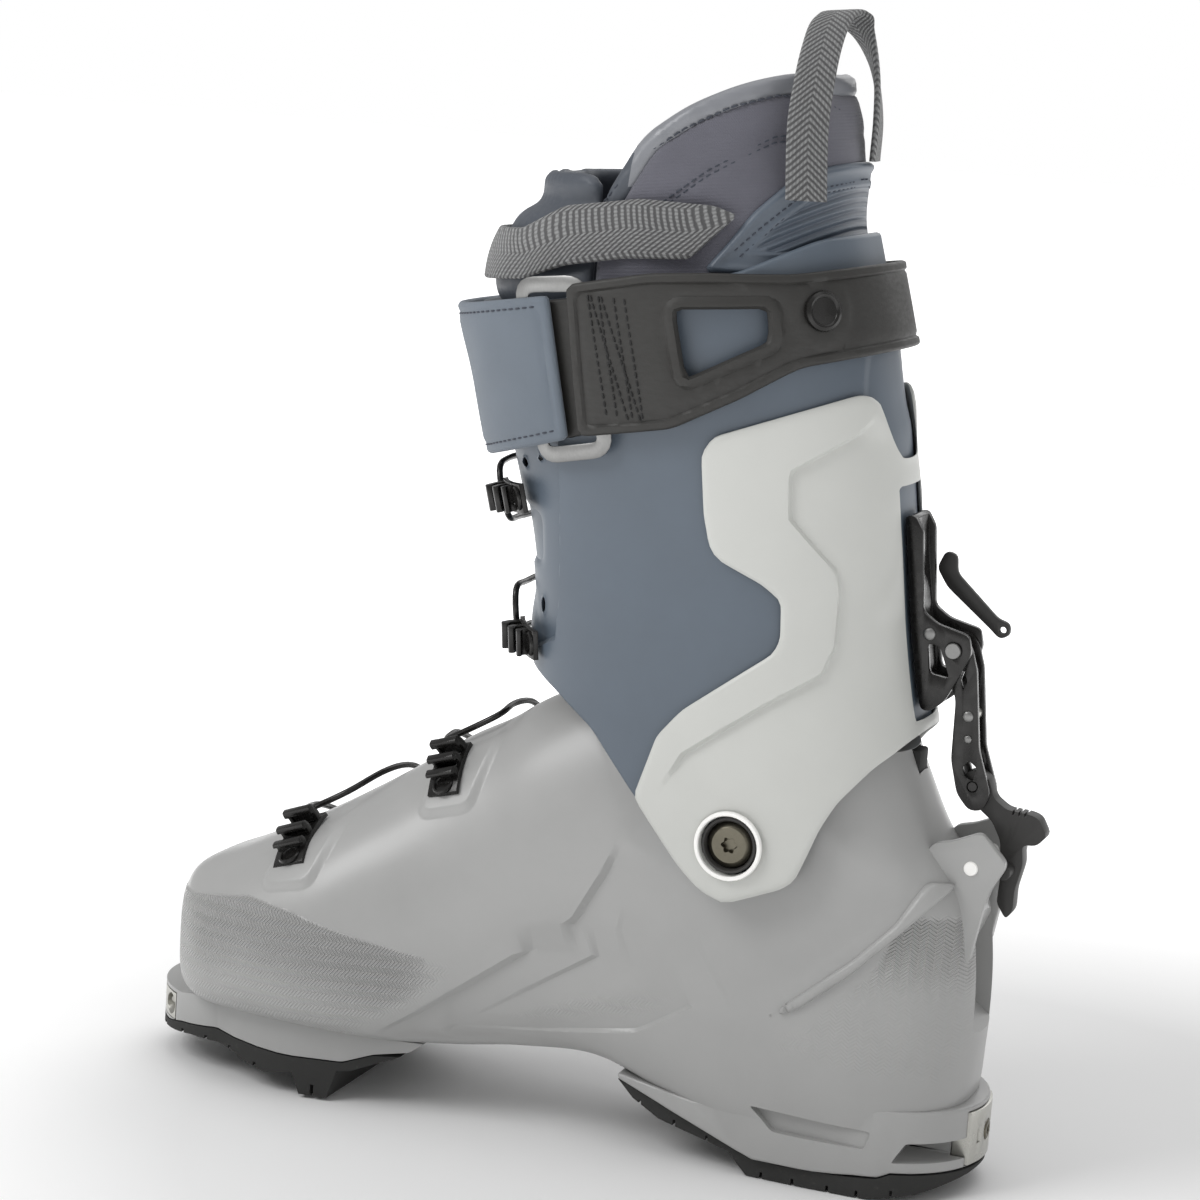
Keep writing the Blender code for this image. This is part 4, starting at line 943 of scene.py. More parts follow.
def cloth_finish(name, colour, thread, rough=0.9, ribs=0.0, mottle=0.08, sheen=0.3):
    """Fine woven or knitted cloth, thread in millimetres; ribs adds faint lines across."""
    made = Finish(name)
    dark, light = tones(colour, mottle)
    parts_of = made.add("ShaderNodeSeparateXYZ", {0: made.mark("cloth", "Vector")}).outputs
    warp = made.sine(made.times(parts_of[0], 2 * math.pi / thread))
    weft = made.sine(made.times(parts_of[1], 2 * math.pi / thread))
    weave = made.times(warp, weft)
    fuzz = made.noise(1700, 3, 0.7)
    cloud = made.noise(60, 4, 0.6)
    base = made.mix(made.span(cloud, 0.3, 0.7), dark, light)
    base = made.mix(made.times(made.span(weave, -1, 1), 0.22), base, dark)
    base = made.mix(made.times(fuzz, 0.2), base, light)
    height = made.plus(weave, made.times(fuzz, 1.2))
    if ribs:
        rib = made.sine(made.plus(made.times(parts_of[0], 2 * math.pi / ribs), made.times(fuzz, 3.0)))
        base = made.mix(made.times(made.span(rib, -1, 1), 0.16), base, dark)
        height = made.plus(height, rib)
    made.set(Base_Color=base, Roughness=rough, Sheen_Weight=sheen, Sheen_Roughness=0.5)
    made.bump(height, 0.5, 0.08)
    made.bump(cloud, 0.3, 0.8)


def ribbed_finish():
    """Overlay with slanted ribs where the mesh is marked for them, with painted shade darkening the troughs
    between the ribs.
    """
    made = plastic("ribbed", srgb(86, 95, 106), 0.45, 0.3, 0.06)
    parts_of = made.add("ShaderNodeSeparateXYZ", {0: made.place}).outputs
    rise = made.maths("SUBTRACT", made.times(parts_of[2], 0.87 / MM), made.times(parts_of[0], 0.5 / MM))
    wave = made.sine(made.times(rise, 2 * math.pi / 2.7))
    ribs = made.times(wave, made.mark("ribs"))
    made.bump(ribs, 1.0, 0.45)
    link = made.shader.inputs["Base Color"].links[0].from_socket
    # Painted shade: the troughs between the ribs are darkened towards a dark slate colour.
    painted_trough_shade = made.times(made.span(wave, 0.2, -1.0), made.mark("ribs"))
    made.set(Base_Color=made.mix(made.times(painted_trough_shade, 0.55), link, srgb(58, 65, 77)))


def vinyl(name, colour, rough, mottle=0.06):
    """Soft coated sheet with leather-like cells and shallow wrinkles."""
    made = Finish(name)
    dark, light = tones(colour, mottle)
    cells = made.add("ShaderNodeTexVoronoi", {"Vector": made.place, "Scale": 1500.0},
                     feature="SMOOTH_F1").outputs["Distance"]
    stretched = made.add("ShaderNodeMapping", {"Vector": made.place, "Scale": (1.0, 1.0, 3.0)}).outputs[0]
    crease = made.noise(260, 4, 0.6, stretched)
    made.set(Base_Color=made.mix(made.noise(70, 4), dark, light),
             Roughness=made.span(crease, 0.3, 0.7, rough - 0.07, rough + 0.07))
    made.bump(cells, 0.35, 0.06)
    made.bump(crease, 0.35, 0.18)


shell_finish()
plastic("backbone", srgb(196, 197, 193), 0.38, 0.2, 0.02)
plastic("cuff", srgb(88, 98, 109), 0.42, 0.2, 0.05)
plastic("black_plastic", srgb(46, 45, 44), 0.5, 0.5, 0.12)
plastic("white_plastic", srgb(250, 249, 246), 0.35, 0.1, 0.01, 0.2)
plastic("board", srgb(66, 66, 70), 0.6, 0.4, 0.08)
vinyl("strap_rubber", srgb(41, 40, 38), 0.55, 0.15)
vinyl("binding", srgb(124, 126, 131), 0.34)
vinyl("tongue_skin", srgb(70, 75, 83), 0.5)
painted("black_alloy", srgb(30, 29, 28), 0.24)
metal("steel", srgb(188, 187, 181), 0.3)
metal("bronze", srgb(112, 108, 96), 0.38)
metal("bare_alloy", srgb(142, 142, 141), 0.42, 0.15)
rubber_finish()
herringbone("webbing", srgb(146, 147, 147), srgb(74, 74, 75), 7.2, 2.1, 0.9)
cloth_finish("sleeve_fabric", srgb(100, 109, 119), 0.5, 0.75, 0.0, 0.05, 0.15)
cloth_finish("liner_fabric", srgb(92, 92, 101), 0.7, 0.92, 1.1, 0.08, 0.25)
cloth_finish("inner_fabric", srgb(74, 75, 82), 0.9, 0.95, 0.0, 0.1, 0.25)
cloth_finish("foam", srgb(120, 120, 122), 1.0, 0.95, 0.0, 0.12, 0.2)
cloth_finish("thread", srgb(58, 62, 72), 0.4, 0.8, 0.0, 0.1, 0.1)
cloth_finish("dark_thread", srgb(20, 20, 20), 0.4, 0.7, 0.0, 0.1, 0.1)
ribbed_finish()


# ---------------------------------------------------------------- lower shell and sole

SHELL_DENSITY = (12, 260)
RECESS = ((80, 28), (121, 25.3), (119, 19.2), (88, 20.2))
RECESS_Y = 33.6
WING_BAND = (
    (84, 59.3), (97.2, 71), (111.1, 83), (122.2, 95), (130, 109), (137.5, 107), (125.5, 93.6), (110.1, 77.4),
    (94, 63.5),
)
WING_SPAN = (10, 21)        # the shell's rows that carry the bands
WING_DENSITY = (26, 420)
HEEL_BLOCK_PLAN = ((110, 35.7), (98, 36.8), (76, 36.6), (50, 34.4), (28, 30))
HEEL_BLOCK_SIDE = (
    (153.5, 11.9), (153.5, 33), (107, 33), (98, 29), (60, 25), (31, 28.5), (31, 26.4), (48, 21.2), (82, 9.2),
    (103, 8.9), (124, 10.1), (128, 11.9),
)
SOLE_END_R = 34.5
SOLE_END_X = 151.0
FRONT_SOLE_PLAN = ((-108, 38.5), (-98, 41), (-84, 42), (-68, 40), (-54, 36), (-38, 32))
HEEL_SOLE_PLAN = ((98, 34.5), (76, 33.5), (50, 32), (28, 29))
HEEL_LEDGE_PLAN = ((104, 34.5), (98, 30))


def sole_plan(sign, sides, radius=SOLE_END_R, fine=3):
    """Plan outline with a round end; sides continue it as X and half width."""
    centre = sign * (SOLE_END_X - SOLE_END_R)
    turns = [math.radians(turn) for turn in range(fine, 91, fine)]
    half = [(centre + sign * radius * math.cos(t), radius * math.sin(t)) for t in turns]
    half += list(sides)
    return [(x, -y) for x, y in half] + [(x, y) for x, y in reversed(half)]


def arc(centre, radius, turns):
    return [(centre[0] + radius * math.cos(math.radians(t)), centre[1] + radius * math.sin(math.radians(t)))
            for t in turns]


def fading_step(columns, line, depth, width, fade, side=1, ends=(0.10, 0.88)):
    """Depth of a recess that starts sharply at a line and fades away from it on one side."""
    gap, share = reach(columns, line)
    gap = gap * side
    taper = ease(share, 0.0, ends[0]) * (1 - ease(share, ends[1], 1.0))
    return depth * ease(gap, 0, width) * np.exp(-(np.maximum(gap - width, 0) / fade) ** 2) * taper


def crisp(field, low, high, margin=0.45):
    """Cuts that hold a ramp's two edges tight."""
    return [(field, low - margin), (field, low), (field, high), (field, high + margin)]


def shell_relief(columns):
    """How far the shell's details stand off its skin."""
    flank = ease(np.abs(columns[:, 4]), 0.25, 0.6)
    height = -fading_step(columns, CREASE_A, 2.1, 2.2, 24)
    height -= np.maximum(fading_step(columns, CREASE_B, 1.2, 1.4, 18, ends=(0.05, 0.75)),
                         fading_step(columns, CREASE_C, 1.3, 1.2, 14, side=-1, ends=(0.05, 0.8)))
    gap, share = reach(columns, WING)
    height -= 0.9 * ease(-gap, 0.5, 3.0) * np.exp(-(np.maximum(-gap - 3, 0) / 9) ** 2) * ease(share, 0, 0.3)
    for pad in PADS:
        height += 1.6 * ease(inside(round_corners(pad, 3.0, 3))(columns), -2.4, 0.6)
    height += 0.7 * ease(reach(columns, TOE_WEAVE)[0], -0.8, 0.0) * ease(-columns[:, 0], 30, 90)
    return height * flank


def weave_mark(columns):
    """Where the shell carries its moulded zigzag, fading downwards."""
    below = reach(columns, TOE_WEAVE)[0]
    toe = (ease(below, -0.4, 0.1) * (1 - 0.75 * ease(below, 6, 30)) * ease(-columns[:, 0], 22, 52)
           * ease(-reach(columns, CREASE_A)[0], 1, 8))
    heel = ease(inside(HEEL_WEAVE)(columns), 0, 1.5) * (0.08 + 0.8 * ease(columns[:, 2], 68, 90))
    band = 0.15 * ease(inside(((-20, 40), (20, 58), (60, 64), (44, 50), (2, 40)))(columns), 0, 6)
    return np.maximum(np.maximum(toe, heel), band) * ease(np.abs(columns[:, 4]), 0.2, 0.5)


def build_shell():
    """The lower shell, with its ears, bosses, channel and pockets."""
    steps, around = SHELL_DENSITY
    columns, faces = skin(SHELL_ROWS, steps, around)
    rings = (len(SHELL_ROWS) - 1) * steps + 1
    cuts = (crisp(beside(CREASE_A), 0.0, 2.2) + crisp(beside(CREASE_B), 0.0, 1.4)
            + crisp(beside(CREASE_C), -1.2, 0.0) + crisp(beside(TOE_WEAVE), -0.8, 0.0, 0.3))
    for pad in PADS:
        cuts += crisp(inside(round_corners(pad, 3.0, 3)), -2.4, 0.6)
    for field, level in cuts:
        columns, faces = split(columns, faces, field, level, 5.0)
    outer = columns[:, :3] + columns[:, 3:6] * shell_relief(columns)[:, None]
    weave = weave_mark(columns)
    mouth = (27.5, 168.5, 110.5, 158.5, 34.5, 0.0, 0.48, 2.6, 2.2)
    inner_rows = cavity_rows(0.0) + [mouth]
    inner = np.concatenate([section(row, around) for row in inner_rows])
    start = len(outer)
    points = np.concatenate((outer, inner, [outer[:around].mean(axis=0) + (-0.7, 0, 0),
                                            inner[:around].mean(axis=0)]))
    levels = len(inner_rows)
    for i in range(levels - 2):
        for k in range(around):
            j = (k + 1) % around
            faces.append([start + i * around + k, start + (i + 1) * around + k,
                          start + (i + 1) * around + j, start + i * around + j])
    for k in range(around):
        j = (k + 1) % around
        last = (rings - 1) * around
        ledge = start + (levels - 2) * around
        faces.append([last + k, last + j, ledge + j, ledge + k])
        faces.append([k, j, len(points) - 2])
        faces.append([start + j, start + k, len(points) - 1])
    mesh = solid("lower_shell_skin", points, faces)
    marks = np.zeros(len(points), np.float32)
    marks[:len(weave)] = weave
    mesh.attributes.new("weave", "FLOAT", "POINT").data.foreach_set("value", marks)
    made = linked("lower_shell_skin", mesh)
    plan = prism(sole_plan(1, HEEL_BLOCK_PLAN), (-5, 60), axes="xyz")
    joins = [carved("join", prism(HEEL_BLOCK_SIDE, (-60, 60)), [("INTERSECT", *plan)], bevel=1.3, segments=3)]
    for side, _ in SIDES:
        ear = prism(round_corners(EAR_OUTLINE, 1.6, 3), sorted((side * EAR_Y[0], side * EAR_Y[1])))
        joins.append(solid("join", *ear, bevel=1.0, segments=2))
        boss = disc((PIVOT[0], side * 36.0, PIVOT[1]), (0, side, 0), ((12, 0), (12, 6.0), (11.7, 6.3)), 40)
        joins.append(solid("join", *boss))
    channel = arc(PIVOT, 77.5, range(10, -39, -4)) + arc(PIVOT, 155, range(-38, 11, 8))
    slot = prism(((143.1, 12.6), (153.4, 12.6), (153.4, 31.4), (143.1, 31.4)), (-13.9, 13.9))
    notch, notch_far = [prism(((128, 15.6), (160, 15.6), (160, 22.4), (132, 22.4)), span)
                        for span in ((-40, -13), (13, 40))]
    pocket = prism(((114.6, 138.6), (119.6, 138.6), (119.6, 147.4), (114.6, 147.4)), (-5.4, 5.4))
    cutters = [solid("cut", *prism(channel, (-11.5, 11.5))), solid("cut", *slot), solid("cut", *pocket),
               solid("cut", *notch, bevel=0.8), solid("cut", *notch_far, bevel=0.8)]
    for side, _ in SIDES:
        hollow = prism(round_corners(RECESS, 1.2, 2), sorted((side * RECESS_Y, side * 45)))
        cutters.append(solid("cut", *hollow))
    for kind, meshes in (("UNION", joins), ("DIFFERENCE", cutters)):
        for other in meshes:
            boolean(made, kind, linked("helper", other))
    final = baked(made)
    for old in [o for o in bpy.context.scene.objects if o.name.startswith("helper")] + [made]:
        bpy.data.objects.remove(old)
    final.name = "lower_shell_skin"
    final.materials.clear()
    final.polygons.foreach_set("material_index", [0] * len(final.polygons))
    shaded(final, 30)
    piece("lower_shell_skin", final, "shell", "shell", ("lower_shell",))
    build_wings()


def build_wings():
    """Raised bands that run from the heel's sides up to the ears."""
    outline = inside(round_corners(WING_BAND, 2.0, 3))

    def relief(columns):
        return 1.5 * reach(columns, WING)[1] - 0.5

    panel = edged_panel(SHELL_ROWS[WING_SPAN[0]:WING_SPAN[1]], WING_DENSITY, outline, -1.6, 3.4, 1.4, relief)
    panelled("heel_wing_bands", panel, "shell", "shell")


def build_sole():
    """Sole block, treads and the two steel inserts."""
    plan = prism(sole_plan(-1, FRONT_SOLE_PLAN), (-5, 60), axes="xyz")
    side = round_corners((
        (-153, 28), (-134, 28), (-126, 29.5), (-119, 30.4), (-98, 30), (-76, 29), (-53, 26.6), (-39, 26.2),
        (-44, 22.6), (-56, 20.7), (-66, 17.2), (-90, 16.8), (-118, 19.2), (-133, 17.7), (-141, 15.7),
        (-153, 15.7)), 1.0, 2)
    slot = prism(((-147.4, 16.6), (-136.6, 16.6), (-136.6, 26.7), (-147.4, 26.7)), (-60, 60))
    mesh = carved("sole_front_block", prism(side, (-60, 60)), (("INTERSECT", *plan), slot),
                  bevel=0.7)
    piece("sole_front_block", mesh, "shell", "shell", ("sole_front",))
    cups = [disc((-141.4, side_of * 25.0, 21.6), (0, -side_of, 0), ((4.1, -4), (4.1, 0), (1.2, 5.0)), 28)
            for side_of in (-1, 1)]
    insert = prism(((-147, 17.0), (-137, 17.0), (-137, 26.3), (-147, 26.3)), (-60, 60))
    mesh = carved("toe_insert_plate", insert, [("INTERSECT", *plan)] + cups,
                  bevel=0.5)
    piece("toe_insert_plate", mesh, "steel", "shell", ("toe_insert",))
    tread = (
        (-153, 15.2), (-141.2, 15.2), (-133.2, 17.2), (-118.2, 18.7), (-90, 16.3), (-66, 16.7),
        (-56.3, 20.2), (-47, 20.7), (-56, 17), (-63, 14.2), (-68, 13.6), (-71, 3.5), (-81, 3.5),
        (-84, 11), (-91, 9.5), (-95, 9), (-105, 11.5), (-107, 13), (-115, 14), (-128, 14.2),
        (-138, 13), (-153, 11.5))
    grooves = [prism(((low, -5), (high, -5), (high, 12.8), (low, 12.8)), (-60, 60), axes="yzx")
               for low, high in ((-15, -12), (12, 15))]
    sipes = [prism(((x, -5), (x + 1.2, -5), (x + 1.2, top), (x, top)), (-60, 60))
             for x, top in ((-149, 13.0), (-144.5, 13.6), (-133, 15.0), (-122, 15.4), (-111, 14.6),
                            (-99.5, 11.6), (-77, 7.5))]
    mesh = carved("tread_front_rubber", prism(tread, (-60, 60)), [("INTERSECT", *plan)]
                  + grooves + sipes, bevel=0.4, segments=1)
    piece("tread_front_rubber", mesh, "rubber", "shell", ("tread_front",))
    heel = (
        (31, 26.0), (48, 20.8), (82, 8.8), (90, 8.2), (103, 8.5), (114, 8.9), (124, 9.7), (128, 11.5),
        (153, 11.5), (149, 9.5), (136, 5), (121, 2.5), (79.5, 2.5), (76, 6), (73, 9.5), (60, 12.5),
        (47, 15.5), (37, 20.5))
    plan = prism(sole_plan(1, HEEL_SOLE_PLAN), (-5, 60), axes="xyz")
    grooves = [prism(((low, -5), (high, -5), (high, 5.4), (low, 5.4)), (70, 160), axes="yzx")
               for low, high in ((-14, -11), (11, 14))]
    sipes = [prism(((x, -5), (x + 2.2, -5), (x + 1.2, top), (x + 0.4, top)), (-60, 60))
             for x, top in ((39, 20.2), (52, 16.2), (64, 13.2), (84, 4.6), (95, 4.6), (107, 4.6),
                            (117, 4.8), (128, 6.2))]
    mesh = carved("tread_heel_rubber", prism(heel, (-60, 60)), [("INTERSECT", *plan)]
                  + grooves + sipes, bevel=0.4, segments=1)
    piece("tread_heel_rubber", mesh, "rubber", "shell", ("tread_heel",))
    back = prism(sole_plan(1, HEEL_LEDGE_PLAN, SOLE_END_R + 0.8), (-5, 60), axes="xyz")
    slots = [prism(((21, 19.5), (160, 19.5), (160, 24.5), (21, 24.5)), sorted((side * 6.5, side * 9.0)),
                   axes="xzy") for side in (-1, 1)]
    hole = disc((153.5, 0, 22), (-1, 0, 0), ((3.7, 0), (3.7, 9.0)), 24)
    mesh = carved("heel_insert_plate", prism(((143.5, 13), (153, 13), (153, 31), (143.5, 31)), (-13.5, 13.5)),
                  [("INTERSECT", *back), hole] + slots,
                  bevel=0.5)
    piece("heel_insert_plate", mesh, "steel", "shell", ("heel_insert",))
    screw_head(("heel_insert_screw",), "heel_insert_bolt", (146.4, 0, 22), (1, 0, 0), 3.2, 5.6,
               "bronze", "shell")


def screw_head(nodes, name, base, axis, radius, length, look, body, lobes=6, depth=1.4, share=0.48,
               dome=0.45):
    """A domed screw with a star socket."""
    profile = [(radius, 0), (radius, length - dome), (radius - 0.2 * dome, length - 0.6 * dome),
               (radius - dome, length)]
    socket_r = radius * share
    sides = 48
    centre, axis = Vector(base), Vector(axis).normalized()
    turn = Vector((0, 0, 1)).rotation_difference(axis)
    points, faces = [], []

    def ring(size, height):
        for k in range(sides):
            angle = 2 * math.pi * k / sides
            points.append(tuple(centre + turn @ Vector((size(angle) * math.cos(angle),
                                                        size(angle) * math.sin(angle), height))))

    for size, height in profile:
        ring(lambda angle, size=size: size, height)
    ring(lambda angle: socket_r * (1 + 0.16 * math.cos(lobes * angle)) + 0.15, length)
    ring(lambda angle: socket_r * (1 + 0.16 * math.cos(lobes * angle)), length - 0.2)
    ring(lambda angle: socket_r * (0.92 + 0.16 * math.cos(lobes * angle)), length - depth)
    count = len(points) // sides
    for r in range(count - 1):
        for k in range(sides):
            j = (k + 1) % sides
            faces.append([r * sides + k, r * sides + j, (r + 1) * sides + j, (r + 1) * sides + k])
    faces.append(list(range(sides))[::-1])
    faces.append([(count - 1) * sides + k for k in range(sides)])
    piece(name, solid(name, np.array(points), faces, sharp=30), look, body, nodes)


def build_spine():
    """The bumper on the spine and the lock pin's two stubs."""
    box = ((115, 139), (119.2, 139), (119.2, 147), (115, 147))
    mesh = solid("spine_bumper_block", *prism(round_corners(box, 1.0, 3), (-5, 5)), bevel=0.5)
    piece("spine_bumper_block", mesh, "rubber", "shell", ("spine_bumper",))
    for side, label in SIDES:
        low, high = 8.6, EAR_Y[1] + 0.6
        pin = disc((LOCK_PIN[0], side * low, LOCK_PIN[1]), (0, side, 0),
                   ((2.2, 0), (2.4, 0.3), (2.4, high - low - 0.4), (2.1, high - low)), 28)
        name = "lock_pin_stub_" + label
        shaped(name, pin, "white_plastic", "shell", "lock_pin_" + label)


def build_pivots():
    """Bushings, rings and bolts on both sides."""
    for side, label in SIDES:
        axis = (0, side, 0)
        base = (PIVOT[0], side * 42.8, PIVOT[1])
        bush = ring_of(base, axis, ((7.9, 0), (9.3, 0), (9.3, 6.9), (9.0, 7.5), (8.4, 7.5), (7.9, 6.8)), 48)
        name = "pivot_bushing_cup_" + label
        shaped(name, bush, "black_plastic", "shell", "pivot_bushing_" + label)
        screw_head(("pivot_bolt_" + label,), "pivot_screw_" + label, base, axis, 7.7, 7.0, "bronze", "shell",
                   share=0.30, dome=1.9, depth=2.2)
        ring = ring_of((PIVOT[0], side * 50.5, PIVOT[1]), axis,
                       ((9.95, 0), (11.4, 0), (11.4, 1.0), (11.1, 1.4), (10.25, 1.4), (9.95, 1.1)), 64)
        name = "pivot_washer_" + label
        shaped(name, ring, "white_plastic", "cuff_body", "pivot_ring_" + label)


# ---------------------------------------------------------------- cuff

CUFF_DENSITY = (10, 220)
FLAP_LINE = ((-13, 166.5), (1.4, 174.1), (2.6, 187.9), (1.3, 234.6), (-2, 262), (-5, 290))
REAR_FACET = ((90, 312), (92.5, 290), (94.5, 268), (97, 250))
CREST_NOTCH = ((-17, 120), (17, 120), (14, 168), (0, 186), (-14, 168))


def hole_at(x, z, radius_x, radius_z=None):
    """Field: positive outside an oval hole."""
    radius_z = radius_z or radius_x

    def field(columns):
        far = np.hypot((columns[:, 0] - x) / radius_x, (columns[:, 2] - z) / radius_z)
        return (far - 1) * min(radius_x, radius_z)
    return field


def crest_notch(columns):
    turned = columns.copy()
    turned[:, 0] = columns[:, 1]
    return np.where(columns[:, 0] < 20, -inside(round_corners(CREST_NOTCH, 3, 3))(turned), 50.0)


FLAP_DEPTH = 2.4            # also the depth of the notch at the cuff's front


def cuff_relief(columns):
    """The flap's edge, the notch above it and the flat behind."""
    gap, share = reach(columns, FLAP_LINE)
    height = -FLAP_DEPTH * ease(-gap, 0, 1.8) * ease(share, 0, 0.05)
    rise = columns[:, 2]
    height -= FLAP_DEPTH * ease(rise, 195, 200) * (1 - ease(rise, 211, 217)) * ease(-gap, 9, 17)
    gap, share = reach(columns, REAR_FACET)
    height -= 0.8 * ease(-gap, 0, 1.5) * (1 - ease(share, 0.85, 1.0))
    return height


def build_cuff():
    """The cuff's wall with its holes."""
    outline = inside(round_corners(CUFF_OUTLINE, 3.0, 3))
    field = smaller(outline, hole_at(*PIVOT, CUFF_HOLE_R), crest_notch, hole_at(-7.7, 183.8, 1.3, 2.8),
                    hole_at(-16.8, 230.4, 1.9), hole_at(-8.6, 233.7, 1.5))
    cuts = crisp(beside(FLAP_LINE), -1.8, 0.0, 0.3) + crisp(beside(REAR_FACET), -1.5, 0.0)
    panel = edged_panel(CUFF_ROWS, CUFF_DENSITY, field, -3.5, 3.5, 1.3, cuff_relief, cuts)
    panelled("cuff_skin", panel, "cuff", "cuff_body", "cuff")


def rear_window(columns):
    x, y, z = columns[:, 0], columns[:, 1], columns[:, 2]
    depth = np.min((BACKBONE_WINDOW_HALF - np.abs(y), x - 95, z - 158, 234 - z), axis=0)
    return -depth


def bone_relief(columns):
    """The backbone's step and its edges."""
    gap, share = reach(columns, BACKBONE_STEP)
    taper = ease(share, 0, 0.05) * (1 - ease(share, 0.9, 1.0))
    height = -1.8 * ease(-gap, 0, 1.2) * np.exp(-(np.maximum(-gap - 1.2, 0) / 34) ** 2) * taper
    height -= 0.35 * np.exp(-((gap + 1.5) / 0.8) ** 2) * taper
    gap, share = reach(columns, BACKBONE_REAR)
    height += 0.7 * ease(-gap, 0, 1.5) * np.exp(-(np.maximum(-gap, 0) / 10) ** 2) * ease(share, 0, 0.2) * (
        1 - ease(share, 0.8, 1.0))
    return height


def build_backbone():
    """The light panel over the cuff."""
    outline = inside(round_corners(BACKBONE_OUTLINE, 2.2, 3))
    field = smaller(outline, hole_at(*PIVOT, CUFF_HOLE_R), rear_window)
    cuts = crisp(beside(BACKBONE_STEP), -1.2, 0.0, 0.6)
    panel = edged_panel(CUFF_ROWS, CUFF_DENSITY, field, 0.4, 2.6, 2.4, bone_relief, cuts)
    panelled("backbone_panel", panel, "backbone", "cuff_body", "backbone")


# ---------------------------------------------------------------- strap

def stitches(name, lines, body, look="thread", length=2.1, gap=1.1, radius=0.3):
    """Short raised threads along lines of (point, normal)."""
    items = []
    for line in lines:
        spots = [Vector(p) for p, _ in line]
        normals = [Vector(n) for _, n in line]
        walked = [0.0]
        for a, b in zip(spots, spots[1:]):
            walked.append(walked[-1] + (b - a).length)
        start = 0.0
        while start + length < walked[-1]:
            ends = []
            for reach_of in (start, start + length / 2, start + length):
                k = max(i for i in range(len(walked)) if walked[i] <= reach_of + 1e-9)
                k = min(k, len(spots) - 2)
                share = (reach_of - walked[k]) / max(walked[k + 1] - walked[k], 1e-9)
                ends.append((spots[k].lerp(spots[k + 1], share), normals[k].lerp(normals[k + 1], share)))
            (a, na), (m, nm), (b, nb) = ends
            items.append(tube([a - na * 0.35, a.lerp(m, 0.3) + nm * 0.12, m + nm * 0.22,
                               b.lerp(m, 0.3) + nm * 0.12, b - nb * 0.35], radius, 6))
            start += length + gap
    points, faces = joined(items)
    piece(name, solid(name, points, faces, sharp=60), look, body)


def on_skin(rows, lift, spots, side=-1):
    """Points over a skin and its normals, from side-view spots."""
    return [(on_side(rows, x, z, lift, side), side_normal(rows, x, z, side)) for x, z in spots]


def stepped(spots, step):
    """Points about every step along straight runs between spots."""
    made = []
    for (ax, az), (bx, bz) in zip(spots, spots[1:]):
        count = max(1, round(math.hypot(bx - ax, bz - az) / step))
        made += [(ax + (bx - ax) * k / count, az + (bz - az) * k / count) for k in range(count)]
    return made + [spots[-1]]


BUTTON_ANGLES = (141.1, 218.9)      # round the cuff's section, in degrees


def build_strap():
    """Power strap with its window, buttons, ring, tail and stitching."""
    edge = ((5.2, 292.8),) + STRAP_OUTLINE[1:-1] + ((11.8, 244.6),)
    outline = inside(round_corners(edge, 3.0, 4))
    window = opposite(inside(round_corners(STRAP_WINDOW, 2.0, 4)))
    buttons = [frame_on(CUFF_ROWS, 9.0, angle) for angle in BUTTON_ANGLES]

    def relief(columns):
        gap = outline(columns)
        height = 0.45 * (1 - ease(gap, 2.6, 3.4)) - 0.5 * np.exp(-((gap - 3.3) / 0.55) ** 2)
        rim = window(columns)
        height += (0.7 * ease(rim, 0.4, 1.0) * (1 - ease(rim, 3.0, 3.6))
                   - 0.35 * np.exp(-((rim - 4.1) / 0.5) ** 2))
        for spot, *_ in buttons:
            away = np.linalg.norm(columns[:, :3] - np.array(spot), axis=1)
            height += 0.9 * (1 - ease(away, 8.6, 10.0)) - 0.6 * (1 - ease(away, 6.8, 7.6))
        return height + 0.12 * noise(columns, 24, 3)

    field = smaller(outline, window)
    cuts = [(outline, 2.6), (outline, 3.3), (window, 3.4), (window, 4.1)]
    panel = edged_panel(CUFF_ROWS, (9, 220), field, 3.6, 2.4, 0.9, relief, cuts)
    panelled("power_strap_band", panel, "strap_rubber", "cuff_body", "power_strap")
    lines = []
    for left, right in ((13.0, 13.0), (16.5, 16.5), (21.5, 21.5), (25.0, 25.0), (13.8, 20.0), (17.3, 24.2)):
        lines.append(on_skin(CUFF_ROWS, 6.0, stepped(((left, 290), (right + 8.5, 252)), 1.5)))
    stitches("power_strap_stitches", lines, "cuff_body", "dark_thread", 1.7, 0.9, 0.36)
    for (spot, _, normal, _), (_, label) in zip(buttons, SIDES):
        profile = ((6.4, 0), (6.5, 0.5), (6.2, 1.3), (5.2, 1.9), (4.6, 1.7), (4.3, 1.3), (2.2, 1.5),
                   (0.3, 1.6))
        knob = disc(spot + normal * 6.4, normal, profile, 44)
        name = "strap_button_cap_" + label
        shaped(name, knob, "black_alloy", "cuff_body", "strap_button_" + label)
    build_sleeve()
    build_tail()
    corners = ((-11.5, 291.0), (9.5, 293.5), (21.0, 241.5), (-1.0, 236.5))
    path = round_corners(corners, 5.0, 5)
    spots = [on_side(CUFF_ROWS, x, z, 4.2) for x, z in stepped(path + [path[0]], 3.0)[:-1]]
    normals = [side_normal(CUFF_ROWS, p.x, p.z) for p in spots]
    points, faces = band_loop(spots, normals, 2.6, 0.55)
    piece("strap_ring_plate", solid("strap_ring_plate", points, faces, sharp=50), "bare_alloy", "cuff_body",
          ("strap_ring",))


def build_tail():
    """Dark end of the strap that turns back through the ring."""
    outline = inside(round_corners(((-6, 286), (24, 292), (34, 252), (4, 242)), 2.0, 3))
    panel = edged_panel(CUFF_ROWS, (6, 160), outline, 0.4, 2.2, 0.8)
    panelled("power_strap_tail", panel, "strap_rubber", "cuff_body")


